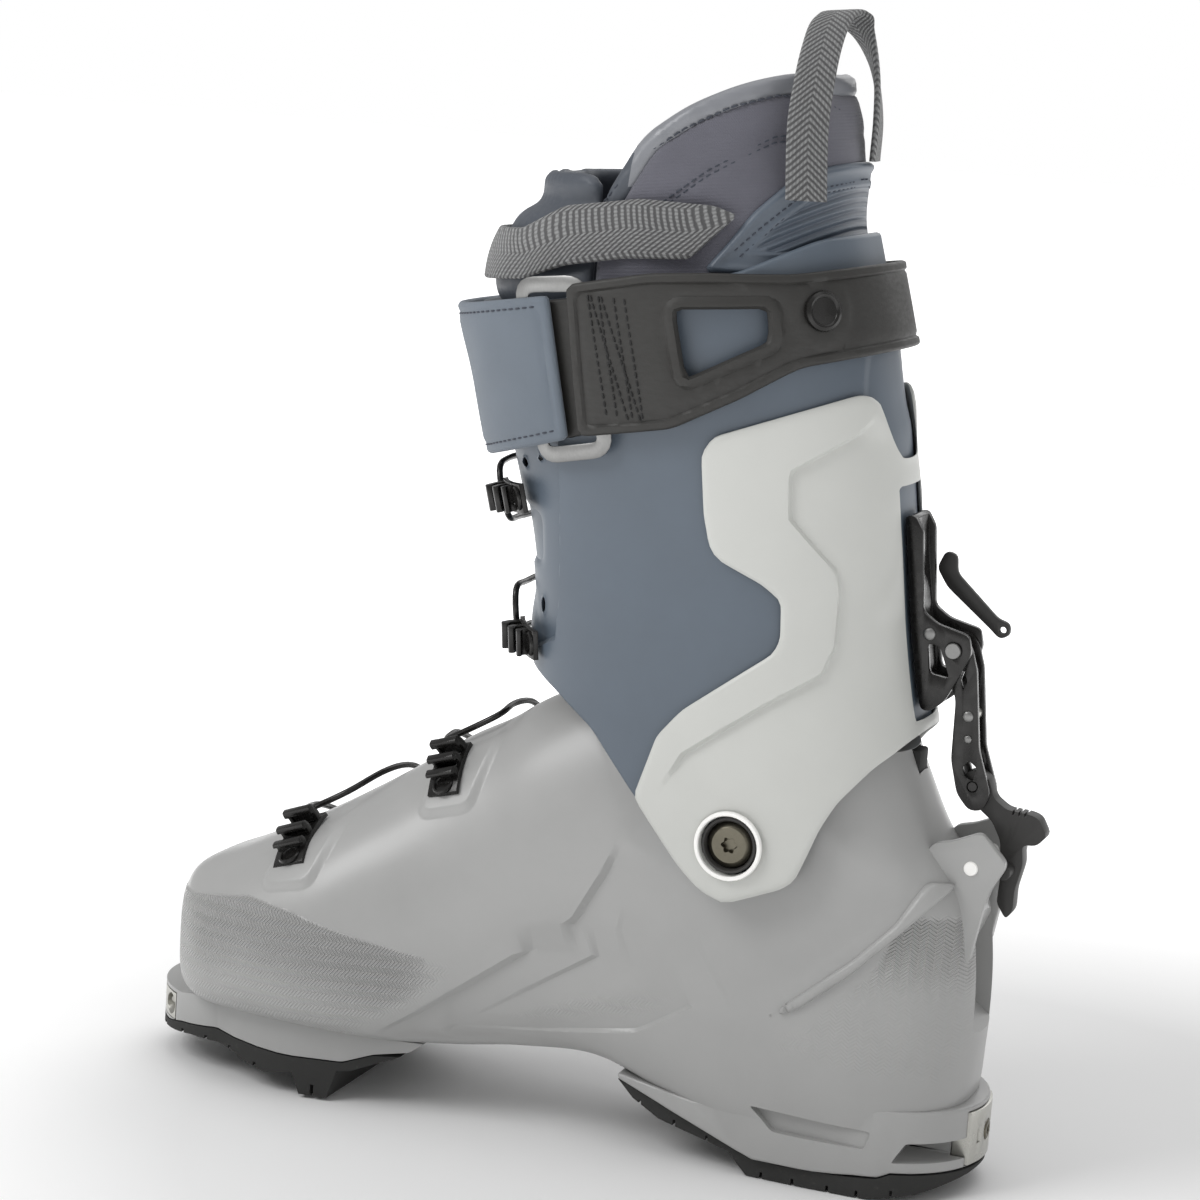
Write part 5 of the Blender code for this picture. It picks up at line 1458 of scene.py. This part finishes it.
def band_loop(spots, normals, half, thick):
    """A closed flat ring through spots, with rounded edges; thick is half its thickness."""
    count = len(spots)
    shape = [(-half, -thick * 0.5), (-half + 0.4, -thick), (half - 0.4, -thick), (half, -thick * 0.5),
             (half, thick * 0.5), (half - 0.4, thick), (-half + 0.4, thick), (-half, thick * 0.5)]
    points, faces = [], []
    for k in range(count):
        run = (spots[(k + 1) % count] - spots[k - 1]).normalized()
        across = run.cross(normals[k]).normalized()
        for a, b in shape:
            points.append(tuple(spots[k] + across * a + normals[k] * b))
    for k in range(count):
        after = (k + 1) % count
        for i in range(len(shape)):
            j = (i + 1) % len(shape)
            faces.append([k * 8 + i, k * 8 + j, after * 8 + j, after * 8 + i])
    return np.array(points), faces


def build_sleeve():
    """The cloth sleeve on the strap's end."""
    outline = inside(round_corners(SLEEVE_OUTLINE, 1.5, 3))

    def relief(columns):
        gap = outline(columns)
        return (0.5 * ease(gap, 0, 7) - 0.45 * np.exp(-((gap - 3.2) / 0.6) ** 2)
                + 0.25 * noise(columns, 30, 5) * ease(gap, 3, 12))

    panel = edged_panel(CUFF_ROWS, (9, 220), outline, 3.6, 3.2, 1.5, relief,
                        [(outline, 3.2)])
    panelled("strap_sleeve_cloth", panel, "sleeve_fabric", "cuff_body", "strap_sleeve")
    lines = []
    for side in (-1, 1):
        top = stepped(((-44, 277.5), (-31.8, 280.0), (-3.5, 285.2)), 2.0)
        low_line = stepped(((-38, 229.5), (-27.3, 235.5), (4.5, 246.0)), 2.0)
        lines += [on_skin(CUFF_ROWS, 6.6, top, side), on_skin(CUFF_ROWS, 6.6, low_line, side)]
    stitches("strap_sleeve_stitches", lines, "cuff_body", "thread", 2.0, 1.0, 0.3)


# ---------------------------------------------------------------- liner

def zoned(mesh, faces, columns, *zones):
    """Later finishes for the faces where a zone's field is under its level."""
    index = np.zeros(len(faces), int)
    for number, (field, level) in enumerate(zones, 1):
        value = field(columns)
        index[[value[face].mean() < level for face in faces]] = number
    mesh.polygons.foreach_set("material_index", index)


def build_liner():
    """The liner above the cuff, with everything sewn to it."""
    inner = grown(LINER_ROWS, -6.0)
    outline = inside(round_corners(LINER_OUTLINE, 6.0, 4))
    top_only = lambda columns: np.where(columns[:, 2] > 300, outline(columns), 40.0)

    def relief(columns):
        gap = outline(columns)
        seam = np.exp(-((gap - 6.4) / 0.6) ** 2) * ease(columns[:, 2], 300, 306)
        line = reach(columns, ((28, 318), (44, 331), (62, 343), (90, 346)))[0]
        quilt = np.exp(-(line / 1.0) ** 2)
        return (0.9 * ease(gap, 6.4, 15) - 1.0 * seam - 0.6 * quilt + 0.5 * noise(columns, 26, 11)
                + 0.35 * noise(columns, 9, 12) * (gap < 6.5))

    columns, faces, low, high = edged_panel(inner, (10, 200), outline, 0.0, 6.0, 3.0, relief,
                                            [(top_only, 5.8), (top_only, 6.4), (top_only, 7.0)])
    points, faces, doubled = wall(columns, faces, low, high)
    mesh = mesh_from("liner_cuff", points, faces, doubled, sharp=60)
    zoned(mesh, faces, doubled, (top_only, 6.4), (lambda columns: np.maximum(top_only(columns) - 6.4,
                                                                            columns[:, 0] - 19), 0.0))
    piece("liner_cuff", mesh, ("liner_fabric", "binding", "tongue_skin"), "cuff_body", ("liner_upper",))
    lines = []
    for side in (-1, 1):
        for offset in (-0.9, 0.9):
            line = [(x, z + offset) for x, z in ((28, 317.2), (44, 330.4), (62, 342.0), (74, 344.5))]
            spots = stepped(line, 2)
            lines.append(on_skin(LINER_ROWS, 0.3, spots, side))
        rim = [(8.6, 316), (21.5, 333.5), (35.2, 343.6), (49, 351.4), (62, 356.0), (72, 355.4), (79, 350)]
        lines.append(on_skin(LINER_ROWS, -0.2, stepped(rim, 2), side))
    stitches("liner_stitches", lines, "cuff_body", "thread", 1.9, 1.0, 0.28)
    build_tongue()
    build_collar()
    build_webbing()


PUFF_FRAMES = 20
PUFF_VOXEL = 2.2            # millimetres
PUFF_PRESSURE = 8.0
PUFF_CAP = 5.0              # millimetres
TONGUE_SEAMS = (279.0, 296.0, 312.5)    # height of the sewn lines across the tongue's front


def puffed(mesh, held):
    """The mesh remeshed and blown up like padding, by at most PUFF_CAP, except where held says 1."""
    made = linked("padding", mesh)
    remesh = made.modifiers.new("voxels", "REMESH")
    remesh.mode = "VOXEL"
    remesh.voxel_size = PUFF_VOXEL * MM
    coarse = baked(made)
    made.modifiers.clear()
    made.data = coarse
    before = places(coarse)
    after = before.copy()
    group = made.vertex_groups.new(name="held")
    for index, share in enumerate(held(before / MM + TREAD)):
        group.add([index], float(share), "REPLACE")
    cloth = made.modifiers.new("padding", "CLOTH")
    cloth.settings.use_pressure = True
    cloth.settings.uniform_pressure_force = PUFF_PRESSURE
    cloth.settings.vertex_group_mass = "held"
    cloth.settings.effector_weights.gravity = 0.0
    for number in range(1, PUFF_FRAMES + 1):
        bpy.context.scene.frame_set(number)
    after = places(baked(made))
    made.modifiers.clear()
    bpy.context.scene.frame_set(1)
    move = after - before
    length = np.linalg.norm(move, axis=1, keepdims=True) + 1e-12
    after = before + move / length * np.minimum(length, PUFF_CAP * MM)
    coarse.vertices.foreach_set("co", after.ravel())
    coarse.update()
    fine = made.modifiers.new("fine", "SUBSURF")
    fine.levels = fine.render_levels = 1
    final = baked(made)
    bpy.data.objects.remove(made)
    final.name = mesh.name
    final.materials.clear()
    shaded(final)
    cloth_marks(final)
    return final


def tongue_seam(points):
    """Distance to the nearest sewn line, which rises towards the tongue's sides."""
    rise = points[:, 2] - 0.10 * (points[:, 0] + 40)
    return np.min([np.abs(rise - seam) for seam in TONGUE_SEAMS], axis=0)


def build_tongue():
    """The liner's tongue, padded between its sewn lines."""
    inner = grown(TONGUE_ROWS, -5.4)
    outline = inside(round_corners(TONGUE_OUTLINE, 3.5, 4))

    def relief(columns):
        away = tongue_seam(columns)
        return 3.4 * (1 - np.exp(-(away / 3.6) ** 2)) - 3.0

    columns, faces, low, high = edged_panel(inner, (10, 200), outline, 0.0, 5.4, 2.7, relief)
    points, faces, doubled = wall(columns, faces, low, high)
    mesh = mesh_from("liner_tongue_pad", points, faces, doubled, sharp=60)

    def held(points):
        return np.maximum(1 - ease(tongue_seam(points), 1.0, 3.0), 1 - ease(points[:, 2], 268, 276))

    mesh = puffed(mesh, held)
    piece("liner_tongue_pad", mesh, "tongue_skin", "cuff_body", ("liner_tongue",))


def build_collar():
    """The ribbed sheet at the back of the liner."""
    outline = inside(round_corners(COLLAR_OUTLINE, 2.0, 3))

    def relief(columns):
        gap = outline(columns)
        return 1.0 * np.exp(-((gap - 1.5) / 1.2) ** 2) + 0.5 * np.exp(-((gap - 6.4) / 0.7) ** 2)

    panel = edged_panel(LINER_ROWS, (16, 220), outline, 0.4, 1.8, 0.9, relief,
                        [(outline, gap) for gap in (1.5, 2.9, 5.6, 6.4, 7.2)])
    panelled("liner_collar_sheet", panel, "ribbed", "cuff_body", "liner_collar",
             lambda doubled: {"ribs": ease(outline(doubled), 7.2, 7.7)}, 50)
    lines = []
    for side in (-1, 1):
        for inset in (0.0, 1.7):
            spots = [(54 + inset, 306.5 - inset), (61 + inset, 315 - inset), (71, 326.5 - inset),
                     (79.5, 330 - inset), (84, 331 - inset)]
            lines.append(on_skin(LINER_ROWS, 2.2, stepped(spots, 2), side))
    stitches("liner_collar_stitches", lines, "cuff_body", "thread", 1.6, 0.9, 0.25)


def build_webbing():
    """The band across the tongue and the pull loop."""
    outline = inside(round_corners(WEBBING_OUTLINE, 1.5, 2))
    middle = ((-80, 291), (-15, 299), (1, 306.5), (21, 311), (41, 311.5), (54, 316))

    def relief(columns):
        gap = outline(columns)
        return 0.25 * noise(columns, 18, 31) + 0.15 * np.sin(2 * np.pi * columns[:, 7] / 1.9) * (gap < 1.2)

    panel = edged_panel(TONGUE_ROWS, (12, 240), outline, 2.4, 1.6, 0.8, relief)
    panel[0][:, 6] = reach(panel[0], middle)[0]
    panelled("tongue_webbing_band", panel, "webbing", "cuff_body", "tongue_webbing", sharp=50)
    stations = (
        ((75.0, -37.6, 324.0), (0.80, 0.55, 0.0), (0.55, -0.83, 0.0)),
        ((74.1, -38.8, 346.0), (0.80, 0.55, 0.0), (0.55, -0.83, 0.0)),
        ((73.6, -34.5, 360.0), (0.80, 0.55, 0.1), (0.50, -0.80, 0.3)),
        ((73.0, -27.0, 371.8), (0.80, 0.55, 0.1), (0.30, -0.70, 0.6)),
        ((72.8, -17.5, 380.2), (0.80, 0.45, 0.1), (0.0, -0.3, 1.0)),
        ((74.5, -8.0, 382.8), (0.80, 0.30, 0.1), (0.1, 0.3, 1.0)),
        ((78.4, 0.0, 377.0), (0.60, -0.60, 0.1), (0.7, 0.5, 0.5)),
        ((82.0, 5.0, 365.0), (0.35, -0.90, 0.0), (0.95, 0.3, 0.0)),
        ((83.6, 7.0, 350.5), (0.15, -0.98, 0.0), (0.98, 0.15, 0.0)),
        ((83.6, 7.0, 336.5), (0.12, -0.99, 0.0), (0.99, 0.12, 0.0)),
    )
    points, faces, columns = ribbon(stations, 6.8, 2.2, 8, 14)
    mesh = mesh_from("pull_loop_webbing", points, faces, columns, sharp=50)
    piece("pull_loop_webbing", mesh, "webbing", "cuff_body", ("pull_loop",))


def ribbon(stations, half, thick, steps, across_count):
    """A strap with rounded edges through stations of centre, direction across and outward direction."""
    table = [tuple(c) + tuple(a) + tuple(o) for c, a, o in stations]
    path = smooth_path(table, steps)
    profile = []
    for k in range(across_count + 1):
        share = 2 * k / across_count - 1
        profile.append((share, math.sqrt(max(0.0, 1 - abs(share) ** 8)) if abs(share) < 1 else 0.15))
    shape = [(s, h) for s, h in profile] + [(s, -h) for s, h in reversed(profile)]
    points, faces, columns = [], [], []
    run = 0.0
    for i, row in enumerate(path):
        centre, across, outward = Vector(row[:3]), Vector(row[3:6]).normalized(), Vector(row[6:9])
        outward = (outward - across * outward.dot(across)).normalized()
        if i:
            run += (centre - Vector(path[i - 1][:3])).length
        for s, h in shape:
            spot = centre + across * (s * half) + outward * (h * thick / 2)
            points.append(tuple(spot))
            columns.append((0, 0, 0, 0, 0, 0, s * half, run))
    size = len(shape)
    for i in range(len(path) - 1):
        faces += quads(i * size, (i + 1) * size, size)
    return np.array(points), faces + caps(len(path), size), np.array(columns, float)


BOARD_LINE = ((-160, 35.5), (-70, 35.5), (0, 41), (60, 44), (160, 46))


def build_inside():
    """Liner foot, insole and boot board, seen only through the leg opening."""
    around, steps = 120, 4
    above = [(x, z + 0.2) for x, z in BOARD_LINE] + [(160, 260), (-160, 260)]
    band = [(x, z + 5.0) for x, z in BOARD_LINE] + [(x, z + 8.0) for x, z in reversed(BOARD_LINE)]
    space = [(x, z + 4.7) for x, z in BOARD_LINE] + [(160, 260), (-160, 260)]
    mouth = (27.5, 168.5, 110.5, 158.5, 34.5, 0.0, 0.48, 2.6, 2.2)
    inner_mouth = grown([mouth], -7.4)[0]

    def closed(rows):
        rings = [section(row, around) for row in smooth_rows(rows, steps)]
        faces = [face for i in range(len(rings) - 1) for face in quads(i * around, (i + 1) * around, around)]
        return np.concatenate(rings), faces + caps(len(rings), around)

    hollow = carved("space", closed(cavity_rows(7.4) + [inner_mouth]),
                    [("INTERSECT", *prism(space, (-90, 90)))])
    cut = ([tuple(np.array(v.co) / MM + TREAD) for v in hollow.vertices],
           [list(p.vertices) for p in hollow.polygons])
    mesh = carved("liner_foot_sock", closed(cavity_rows(1.4)), [("INTERSECT", *prism(above, (-90, 90))),
                                                                cut], sharp=50)
    cloth_marks(mesh)
    piece("liner_foot_sock", mesh, "inner_fabric", "shell", ("liner_foot",))
    mesh = carved("footbed_felt", closed(cavity_rows(8.8)), [("INTERSECT", *prism(band, (-90, 90)))],
                  sharp=50)
    cloth_marks(mesh)
    piece("footbed_felt", mesh, "foam", "shell", ("footbed",))
    dress("boot_board", "board")


def cloth_marks(mesh):
    """Cloth coordinates taken straight from a mesh's own place."""
    spots = places(mesh) / MM
    spots[:, 1] += spots[:, 2]
    spots[:, 2] = 0
    mesh.attributes.new("cloth", "FLOAT_VECTOR", "POINT").data.foreach_set("vector", spots.ravel())


# ---------------------------------------------------------------- walk lock

BRACKET_OUTLINE = (
    (108.2, 224.5), (109.9, 212), (113.0, 190), (116.6, 170), (118.6, 162), (121.5, 161.5),
    (126, 165), (131, 175), (134, 182), (132.5, 188), (122, 190.5), (116.8, 194), (115.8, 205),
    (114.5, 220), (111.5, 225),
)
BRACKET_SLOT = (
    (111.5, 230), (113.0, 212), (116.2, 190), (119.6, 170), (121.6, 150), (145, 150), (145, 230),
)
LINK_OUTLINE = (
    (124.2, 179.5), (123.6, 184), (126.5, 187), (130, 187), (133, 184), (135.6, 176), (138.6, 150),
    (143.6, 136), (141.5, 130.5), (137, 130), (132.5, 135), (129.6, 146), (129.4, 166),
)
LATCH_OUTLINE = (
    (133, 139.5), (134.8, 142.3), (138.5, 143), (142.2, 141), (144.5, 134.5), (149, 131.5),
    (157, 131), (160, 130), (163, 124.5), (160, 121), (155.2, 120.5), (156, 114), (154, 105),
    (154, 98), (152, 95), (148.5, 100), (149, 110), (147.8, 121), (144.5, 127), (138, 132),
    (133.8, 135),
)
RELEASE_OUTLINE = (
    (115.5, 206), (118, 212), (122, 211), (122.5, 205), (137.5, 191.5), (141.5, 190.5),
    (142, 186.5), (138.5, 184.8), (135.5, 187.5), (119.5, 200),
)


LINK_HOLE_R = 2.3
LATCH_HOLE_R = 1.9


def bolt_hole(x, z, radius):
    """A hole right through along Y."""
    return disc((x, -30, z), (0, 1, 0), ((radius, 0), (radius, 60)), 24)


def rivets(name, spots, body, look="bare_alloy"):
    """Domed rivet heads; each spot is X, Y, Z, radius and the way its head faces."""
    items = []
    for x, y, z, radius, side in spots:
        profile = ((radius, -0.3), (radius, 0.25), (radius * 0.86, 0.6), (radius * 0.5, 0.8),
                   (radius * 0.1, 0.85))
        items.append(disc((x, y, z), (0, side, 0), profile, 28))
    points, faces = joined(items)
    piece(name, solid(name, points, faces, sharp=40), look, body)


def build_lock():
    """The ski and walk lock: bracket, link, latch and release arm."""
    bracket = prism(round_corners(BRACKET_OUTLINE, 1.6, 3), (-9, 9))
    slot = prism(BRACKET_SLOT, (-6.4, 6.4))
    window = prism(round_corners(((120.6, 174), (127.5, 173), (123.4, 183.5), (119.3, 184)), 1.4, 2),
                   (-20, 20))
    mesh = carved("lock_bracket_body", bracket, [slot, window, bolt_hole(*LINK_PIVOT, LINK_HOLE_R)],
                  bevel=0.5)
    piece("lock_bracket_body", mesh, "black_alloy", "cuff_body", ("lock_bracket",))
    pin = disc((LINK_PIVOT[0], -10.2, LINK_PIVOT[1]), (0, 1, 0),
               ((2.4, 0), (2.7, 0.4), (2.7, 0.9), (1.9, 0.95), (1.9, 19.45), (2.7, 19.5), (2.7, 20.0),
                (2.4, 20.4)), 32)
    shaped("link_pin_rivet", pin, "bare_alloy", "cuff_body", "link_pin")
    heads = [(119.6, side * 9.0, 187.0, 2.1, side) for side in (-1, 1)]
    rivets("lock_bracket_rivets", heads, "cuff_body")
    for side, label in SIDES:
        link = prism(round_corners(LINK_OUTLINE, 2.0, 3), sorted((side * 3.7, side * 5.8)))
        diamond = ((131.4, 176), (132.8, 172.5), (131.6, 169), (130.4, 172.5))
        pentagon = ((135.6, 146.5), (138.4, 144.5), (137.6, 139.8), (134.6, 141.0), (133.6, 144))
        holes = [bolt_hole(*LINK_PIVOT, LINK_HOLE_R), bolt_hole(*LATCH_PIVOT, LATCH_HOLE_R),
                 prism(round_corners(diamond, 0.5, 2), (-20, 20)),
                 prism(round_corners(pentagon, 0.6, 2), (-20, 20))]
        mesh = carved("link_plate_" + label, link, holes, bevel=0.45)
        piece("link_plate_" + label, mesh, "black_alloy", "lock_link", ("link_" + label,))
    spacer = disc((134, -3.35, 161), (0, 1, 0), ((2.3, 0), (2.6, 0.3), (2.6, 6.4), (2.3, 6.7)), 28)
    shaped("link_spacer_pin", spacer, "steel", "lock_link", "link_spacer")
    heads = [(134.0, side * 5.8, 161.0, 1.9, side) for side in (-1, 1)]
    heads += [(134.6, side * 5.8, 153.5, 1.4, side) for side in (-1, 1)]
    rivets("link_rivets", heads, "lock_link")
    latch = prism(round_corners(LATCH_OUTLINE, 1.6, 3), (-3.2, 3.2))
    bar = disc((151.2, -10.5, 112), (0, 1, 0), ((2.0, 0), (2.4, 0.4), (2.4, 20.6), (2.0, 21)), 28)
    trunnion = disc((LATCH_PIVOT[0], -5.7, LATCH_PIVOT[1]), (0, 1, 0), ((1.5, 0), (1.5, 11.4)), 20)
    grip = [prism(((x, 130.0), (x + 0.7, 130.0), (x + 0.7, 140), (x, 140)), (-5, 5))
            for x in (151.0, 153.0, 155.0)]
    mesh = carved("latch_hook", latch, [("UNION", *bar), ("UNION", *trunnion)] + grip, bevel=0.5)
    piece("latch_hook", mesh, "black_plastic", "latch", ("latch_lever",))
    arm = prism(round_corners(RELEASE_OUTLINE, 1.8, 3), (9.4, 11.8))
    hole = disc((139.4, 5, 188.0), (0, 1, 0), ((1.1, 0), (1.1, 12)), 20)
    mesh = carved("release_arm_bar", arm, [hole], bevel=0.5)
    piece("release_arm_bar", mesh, "black_plastic", "cuff_body", ("release_arm",))


# ---------------------------------------------------------------- buckles

BUCKLES = {
    "toe": (SHELL_ROWS, 5.55, 288, 12, 0.30, 0.85, 40.0, "shell"),
    "instep": (SHELL_ROWS, 8.3, 288, 12, 0.55, 0.80, 42.0, "shell"),
    "lower": (CUFF_ROWS, 4.2, 287, 14, 0.40, 0.50, 44.0, "cuff_body"),
    "upper": (CUFF_ROWS, 6.3, 287, 14, 0.32, 0.42, 44.0, "cuff_body"),
}
LADDERS = {
    "toe": (SHELL_ROWS, (-88.3, 81.5), (-90.3, 94.0), 6.2),
    "instep": (SHELL_ROWS, (-37.0, 112.5), (-39.0, 126.5), 6.0),
    "lower": (CUFF_ROWS, (-4.0, 171.0), (-15.0, 172.5), 5.0),
    "upper": (CUFF_ROWS, (-11.0, 220.0), (-23.5, 219.0), 5.0),
}
LADDER_LIFT = 1.9
LEVER_HALF = 8.0
HINGE_LIFT = 6.6
HINGE_PIN_R = 1.5
EAR_U = (9.0, 11.0)
BAIL_R = 1.1
BAIL_LIFT = 4.6
ATTACH_BACK = 9.5


def build_ladder(name):
    """Catch plate with a big rivet and hooked rungs."""
    rows, start, end, half = LADDERS[name]
    spots = []
    for k in range(13):
        x = start[0] + (end[0] - start[0]) * k / 12
        z = start[1] + (end[1] - start[1]) * k / 12
        spots.append(Vector((x, -side_y(rows, x, z), z)))
    first = (spots[-1] - spots[0]).normalized()
    middle = side_normal(rows, spots[6].x, spots[6].z)
    second = (middle - first * middle.dot(first)).normalized()
    third = first.cross(second).normalized()
    base = (spots[0], first, second, third)
    path = [((p - spots[0]).dot(first), (p - spots[0]).dot(second)) for p in spots]
    low = [(a, b + LADDER_LIFT) for a, b in path]
    high = [(a, b + LADDER_LIFT + 1.7) for a, b in path]
    plate = prism(low + high[::-1], (-half, half), place=base)
    shapes = []
    for k, tall in ((5, 0.9), (8, 1.25), (11, 1.6)):
        a, b = path[k]
        b += LADDER_LIFT + 1.2
        hook = ((a - 1.5, b), (a + 1.0, b), (a + 1.2, b + 2.6 * tall), (a + 0.2, b + 4.4 * tall),
                (a - 2.4, b + 4.6 * tall), (a - 3.0, b + 3.1 * tall), (a - 1.2, b + 2.4 * tall))
        shapes.append(("UNION", *prism(round_corners(hook, 0.7, 2), (-half + 0.6, half - 0.6), place=base)))
    for k in (6.5, 9.5):
        a = path[-1][0] * k / 12
        gap = ((a - 1.1, -6), (a + 1.1, -6), (a + 1.1, 9), (a - 1.1, 9))
        shapes.append(prism(gap, (-half + 2.0, half - 2.0), place=base))
    mesh = carved(name + "_ladder_rack", plate, shapes, bevel=0.4)
    body = BUCKLES[name][7]
    piece(name + "_ladder_rack", mesh, "black_alloy", body, (name + "_ladder",))
    a, b = path[2]
    spot = spots[0] + first * (a + 0.6) + second * (b + LADDER_LIFT + 1.5)
    profile = ((4.1, 0), (4.1, 0.6), (3.7, 1.0), (3.1, 1.0), (2.8, 0.3), (0.3, 0.35))
    rivet = disc(spot, second, profile, 40)
    piece(name + "_ladder_rivet", solid(name + "_ladder_rivet", *rivet), "black_alloy", body)


def build_buckle(name):
    """Base, hinge pin, lever with an open frame, and wire bail, on the lateral side."""
    rows, index, hinge_angle, hook_angle, spread_hook, spread_mid, length, body = BUCKLES[name]
    spot, along, normal, upward = frame_on(rows, index, hinge_angle)
    hinge = spot + normal * HINGE_LIFT
    place = (spot, upward, normal, along)
    base = prism(((-13, 0.8), (13, 0.8), (13, 2.8), (-13, 2.8)), (-EAR_U[1], EAR_U[1]), place=place)
    ear = ((-5, 2.0), (5, 2.0), (3.6, 8.2), (1.8, 9.8), (-1.8, 9.8), (-3.6, 8.2))
    ear = round_corners(ear, 1.2, 3)
    shapes = [("UNION", *prism(ear, sorted((side * EAR_U[0], side * EAR_U[1])), place=place))
              for side in (-1, 1)]
    hole = disc(hinge - along * 20, along, ((HINGE_PIN_R + 0.4, 0), (HINGE_PIN_R + 0.4, 40)), 20)
    mesh = carved(name + "_buckle_base", base, shapes + [hole], bevel=0.4)
    piece(name + "_buckle_base", mesh, "black_alloy", body, (name + "_base",))
    reach_of = 2 * EAR_U[1] + 1.4
    profile = ((1.2, 0), (1.5, 0.3), (1.5, reach_of - 0.3), (1.2, reach_of))
    pin = disc(hinge - along * (reach_of / 2), along, profile, 24)
    piece(name + "_hinge_pin", solid(name + "_hinge_pin", *pin), "steel", body, (name + "_pin",))
    handle = [(-3.0, HINGE_LIFT - 2.6), (-ATTACH_BACK - 4, 4.6), (-length, 5.2), (-length - 2, 7.0),
              (-length, 8.8), (-22, 9.6), (-ATTACH_BACK - 3, 11.2), (-4.5, 11.4), (1.0, 10.0),
              (3.3, 7.4), (2.6, 4.6), (0.6, 3.4)]
    lever = prism(round_corners(handle, 0.9, 3), (-LEVER_HALF, LEVER_HALF), place=place)
    middle = ((-length + 8, -5), (-ATTACH_BACK - 7, -5), (-ATTACH_BACK - 7, 25), (-length + 8, 25))
    shapes = [hole, prism(round_corners(middle, 2, 3), (-4.6, 4.6), place=place)]
    for k in range(4):
        a = -length + 1.0 + 1.6 * k
        groove = ((a, 8.4), (a + 0.7, 8.4), (a + 0.7, 15), (a, 15))
        shapes.append(prism(groove, (-20, 20), place=place))
    mesh = carved(name + "_buckle_lever", lever, shapes, bevel=0.45)
    piece(name + "_buckle_lever", mesh, "black_alloy", name + "_lever_body", (name + "_lever",))
    attach = spot - upward * ATTACH_BACK + normal * 7.6
    halves = []
    for side in (-1, 1):
        wing = along * (side * (EAR_U[1] + BAIL_R + 2.2))
        one = [attach + along * (side * (LEVER_HALF + BAIL_R + 0.8)),
               attach + wing + upward * 3.0,
               spot + wing + upward * 15.0 + normal * (BAIL_LIFT + 1.5)]
        for k in range(1, 7):
            share = k / 6
            angle = hinge_angle + 12 + (348 + hook_angle - hinge_angle) * share
            spread = spread_hook + (spread_mid - spread_hook) * math.sin(math.pi * share) ** 0.7
            one.append(place_on(rows, index + side * spread, angle % 360, BAIL_LIFT))
        halves.append(one)
    path = smooth_path([tuple(p) for p in halves[0] + halves[1][::-1]], 5)
    mesh = solid(name + "_bail_wire", *tube(path, BAIL_R, 12), sharp=60)
    piece(name + "_bail_wire", mesh, "black_alloy", name + "_bail_body", (name + "_bail",))


# ---------------------------------------------------------------- stage

CAMERA_AT = (0.272501, -1.017958, 0.370561)
CAMERA_AXES = ((0.93326066, 0.35256958, 0.06869672), (-0.12479614, 0.1389203, 0.98240881),
               (0.33682409, -0.92541658, 0.17364818))
CAMERA_LENS = 97.17
FLOOR_HALF = 9.0            # metres
FLOOR_DROP = 0.0003         # metres under the sole


def build_stage():
    """Floor, world, lamps and camera."""
    work = bpy.data.meshes.new("floor")
    low = cad_box[0].z - FLOOR_DROP
    half = FLOOR_HALF
    work.from_pydata([(-half, -half, low), (half, -half, low), (half, half, low), (-half, half, low)], [],
                     [(0, 1, 2, 3)])
    floor = bpy.data.objects.new("floor", work)
    bpy.context.scene.collection.objects.link(floor)
    paper = Finish("floor_paper")
    away = paper.add("ShaderNodeVectorMath", {0: paper.place}, operation="LENGTH").outputs["Value"]
    paper.set(Base_Color=paper.mix(paper.noise(6, 3), (0.86, 0.86, 0.86, 1), (0.90, 0.90, 0.90, 1)),
              Roughness=0.85,
              Emission_Color=(1.0, 1.0, 1.0, 1.0), Emission_Strength=paper.span(away, 0.22, 0.75, 0.0, 1.0))
    work.materials.append(looks["floor_paper"])
    world_of = bpy.data.worlds.new("studio")
    bpy.context.scene.world = world_of
    world_of.use_nodes = True
    tree = world_of.node_tree
    background = tree.nodes["Background"]
    background.inputs[0].default_value = (1.0, 1.0, 1.0, 1.0)
    seen = tree.nodes.new("ShaderNodeLightPath").outputs["Is Camera Ray"]
    strength = tree.nodes.new("ShaderNodeMapRange")
    strength.inputs["To Min"].default_value = 0.42
    strength.inputs["To Max"].default_value = 1.0
    tree.links.new(seen, strength.inputs["Value"])
    tree.links.new(strength.outputs[0], background.inputs[1])
    for name, spot, size, power, aim in (
            ("key", (-0.75, -0.75, 1.0), 0.6, 7.0, (0, 0, 0.15)),
            ("fill", (1.2, -0.9, 0.6), 1.2, 1.6, (0, 0, 0.15)),
            ("back", (0.2, 1.1, 1.0), 1.2, 5.0, (0, 0, 0.2)),
            ("top", (-0.1, 0.0, 1.6), 1.4, 6.0, (-0.05, 0, 0))):
        data = bpy.data.lights.new(name, "AREA")
        data.size = size
        data.energy = power
        lamp = bpy.data.objects.new(name, data)
        lamp.location = spot
        lamp.rotation_mode = "QUATERNION"
        lamp.rotation_quaternion = (Vector(aim) - Vector(spot)).to_track_quat("-Z", "Y")
        bpy.context.scene.collection.objects.link(lamp)
    data = bpy.data.cameras.new("camera")
    data.lens = CAMERA_LENS
    data.sensor_width = 36.0
    camera = bpy.data.objects.new("camera", data)
    turn = Matrix(CAMERA_AXES).transposed().to_4x4()
    camera.matrix_world = Matrix.Translation(CAMERA_AT) @ turn
    bpy.context.scene.collection.objects.link(camera)
    bpy.context.scene.camera = camera
    bpy.context.scene.view_settings.view_transform = "Standard"


build_shell()
build_sole()
build_spine()
build_pivots()
build_cuff()
build_backbone()
build_strap()
build_liner()
build_inside()
build_lock()
for buckle in BUCKLES:
    build_ladder(buckle)
    build_buckle(buckle)
build_stage()
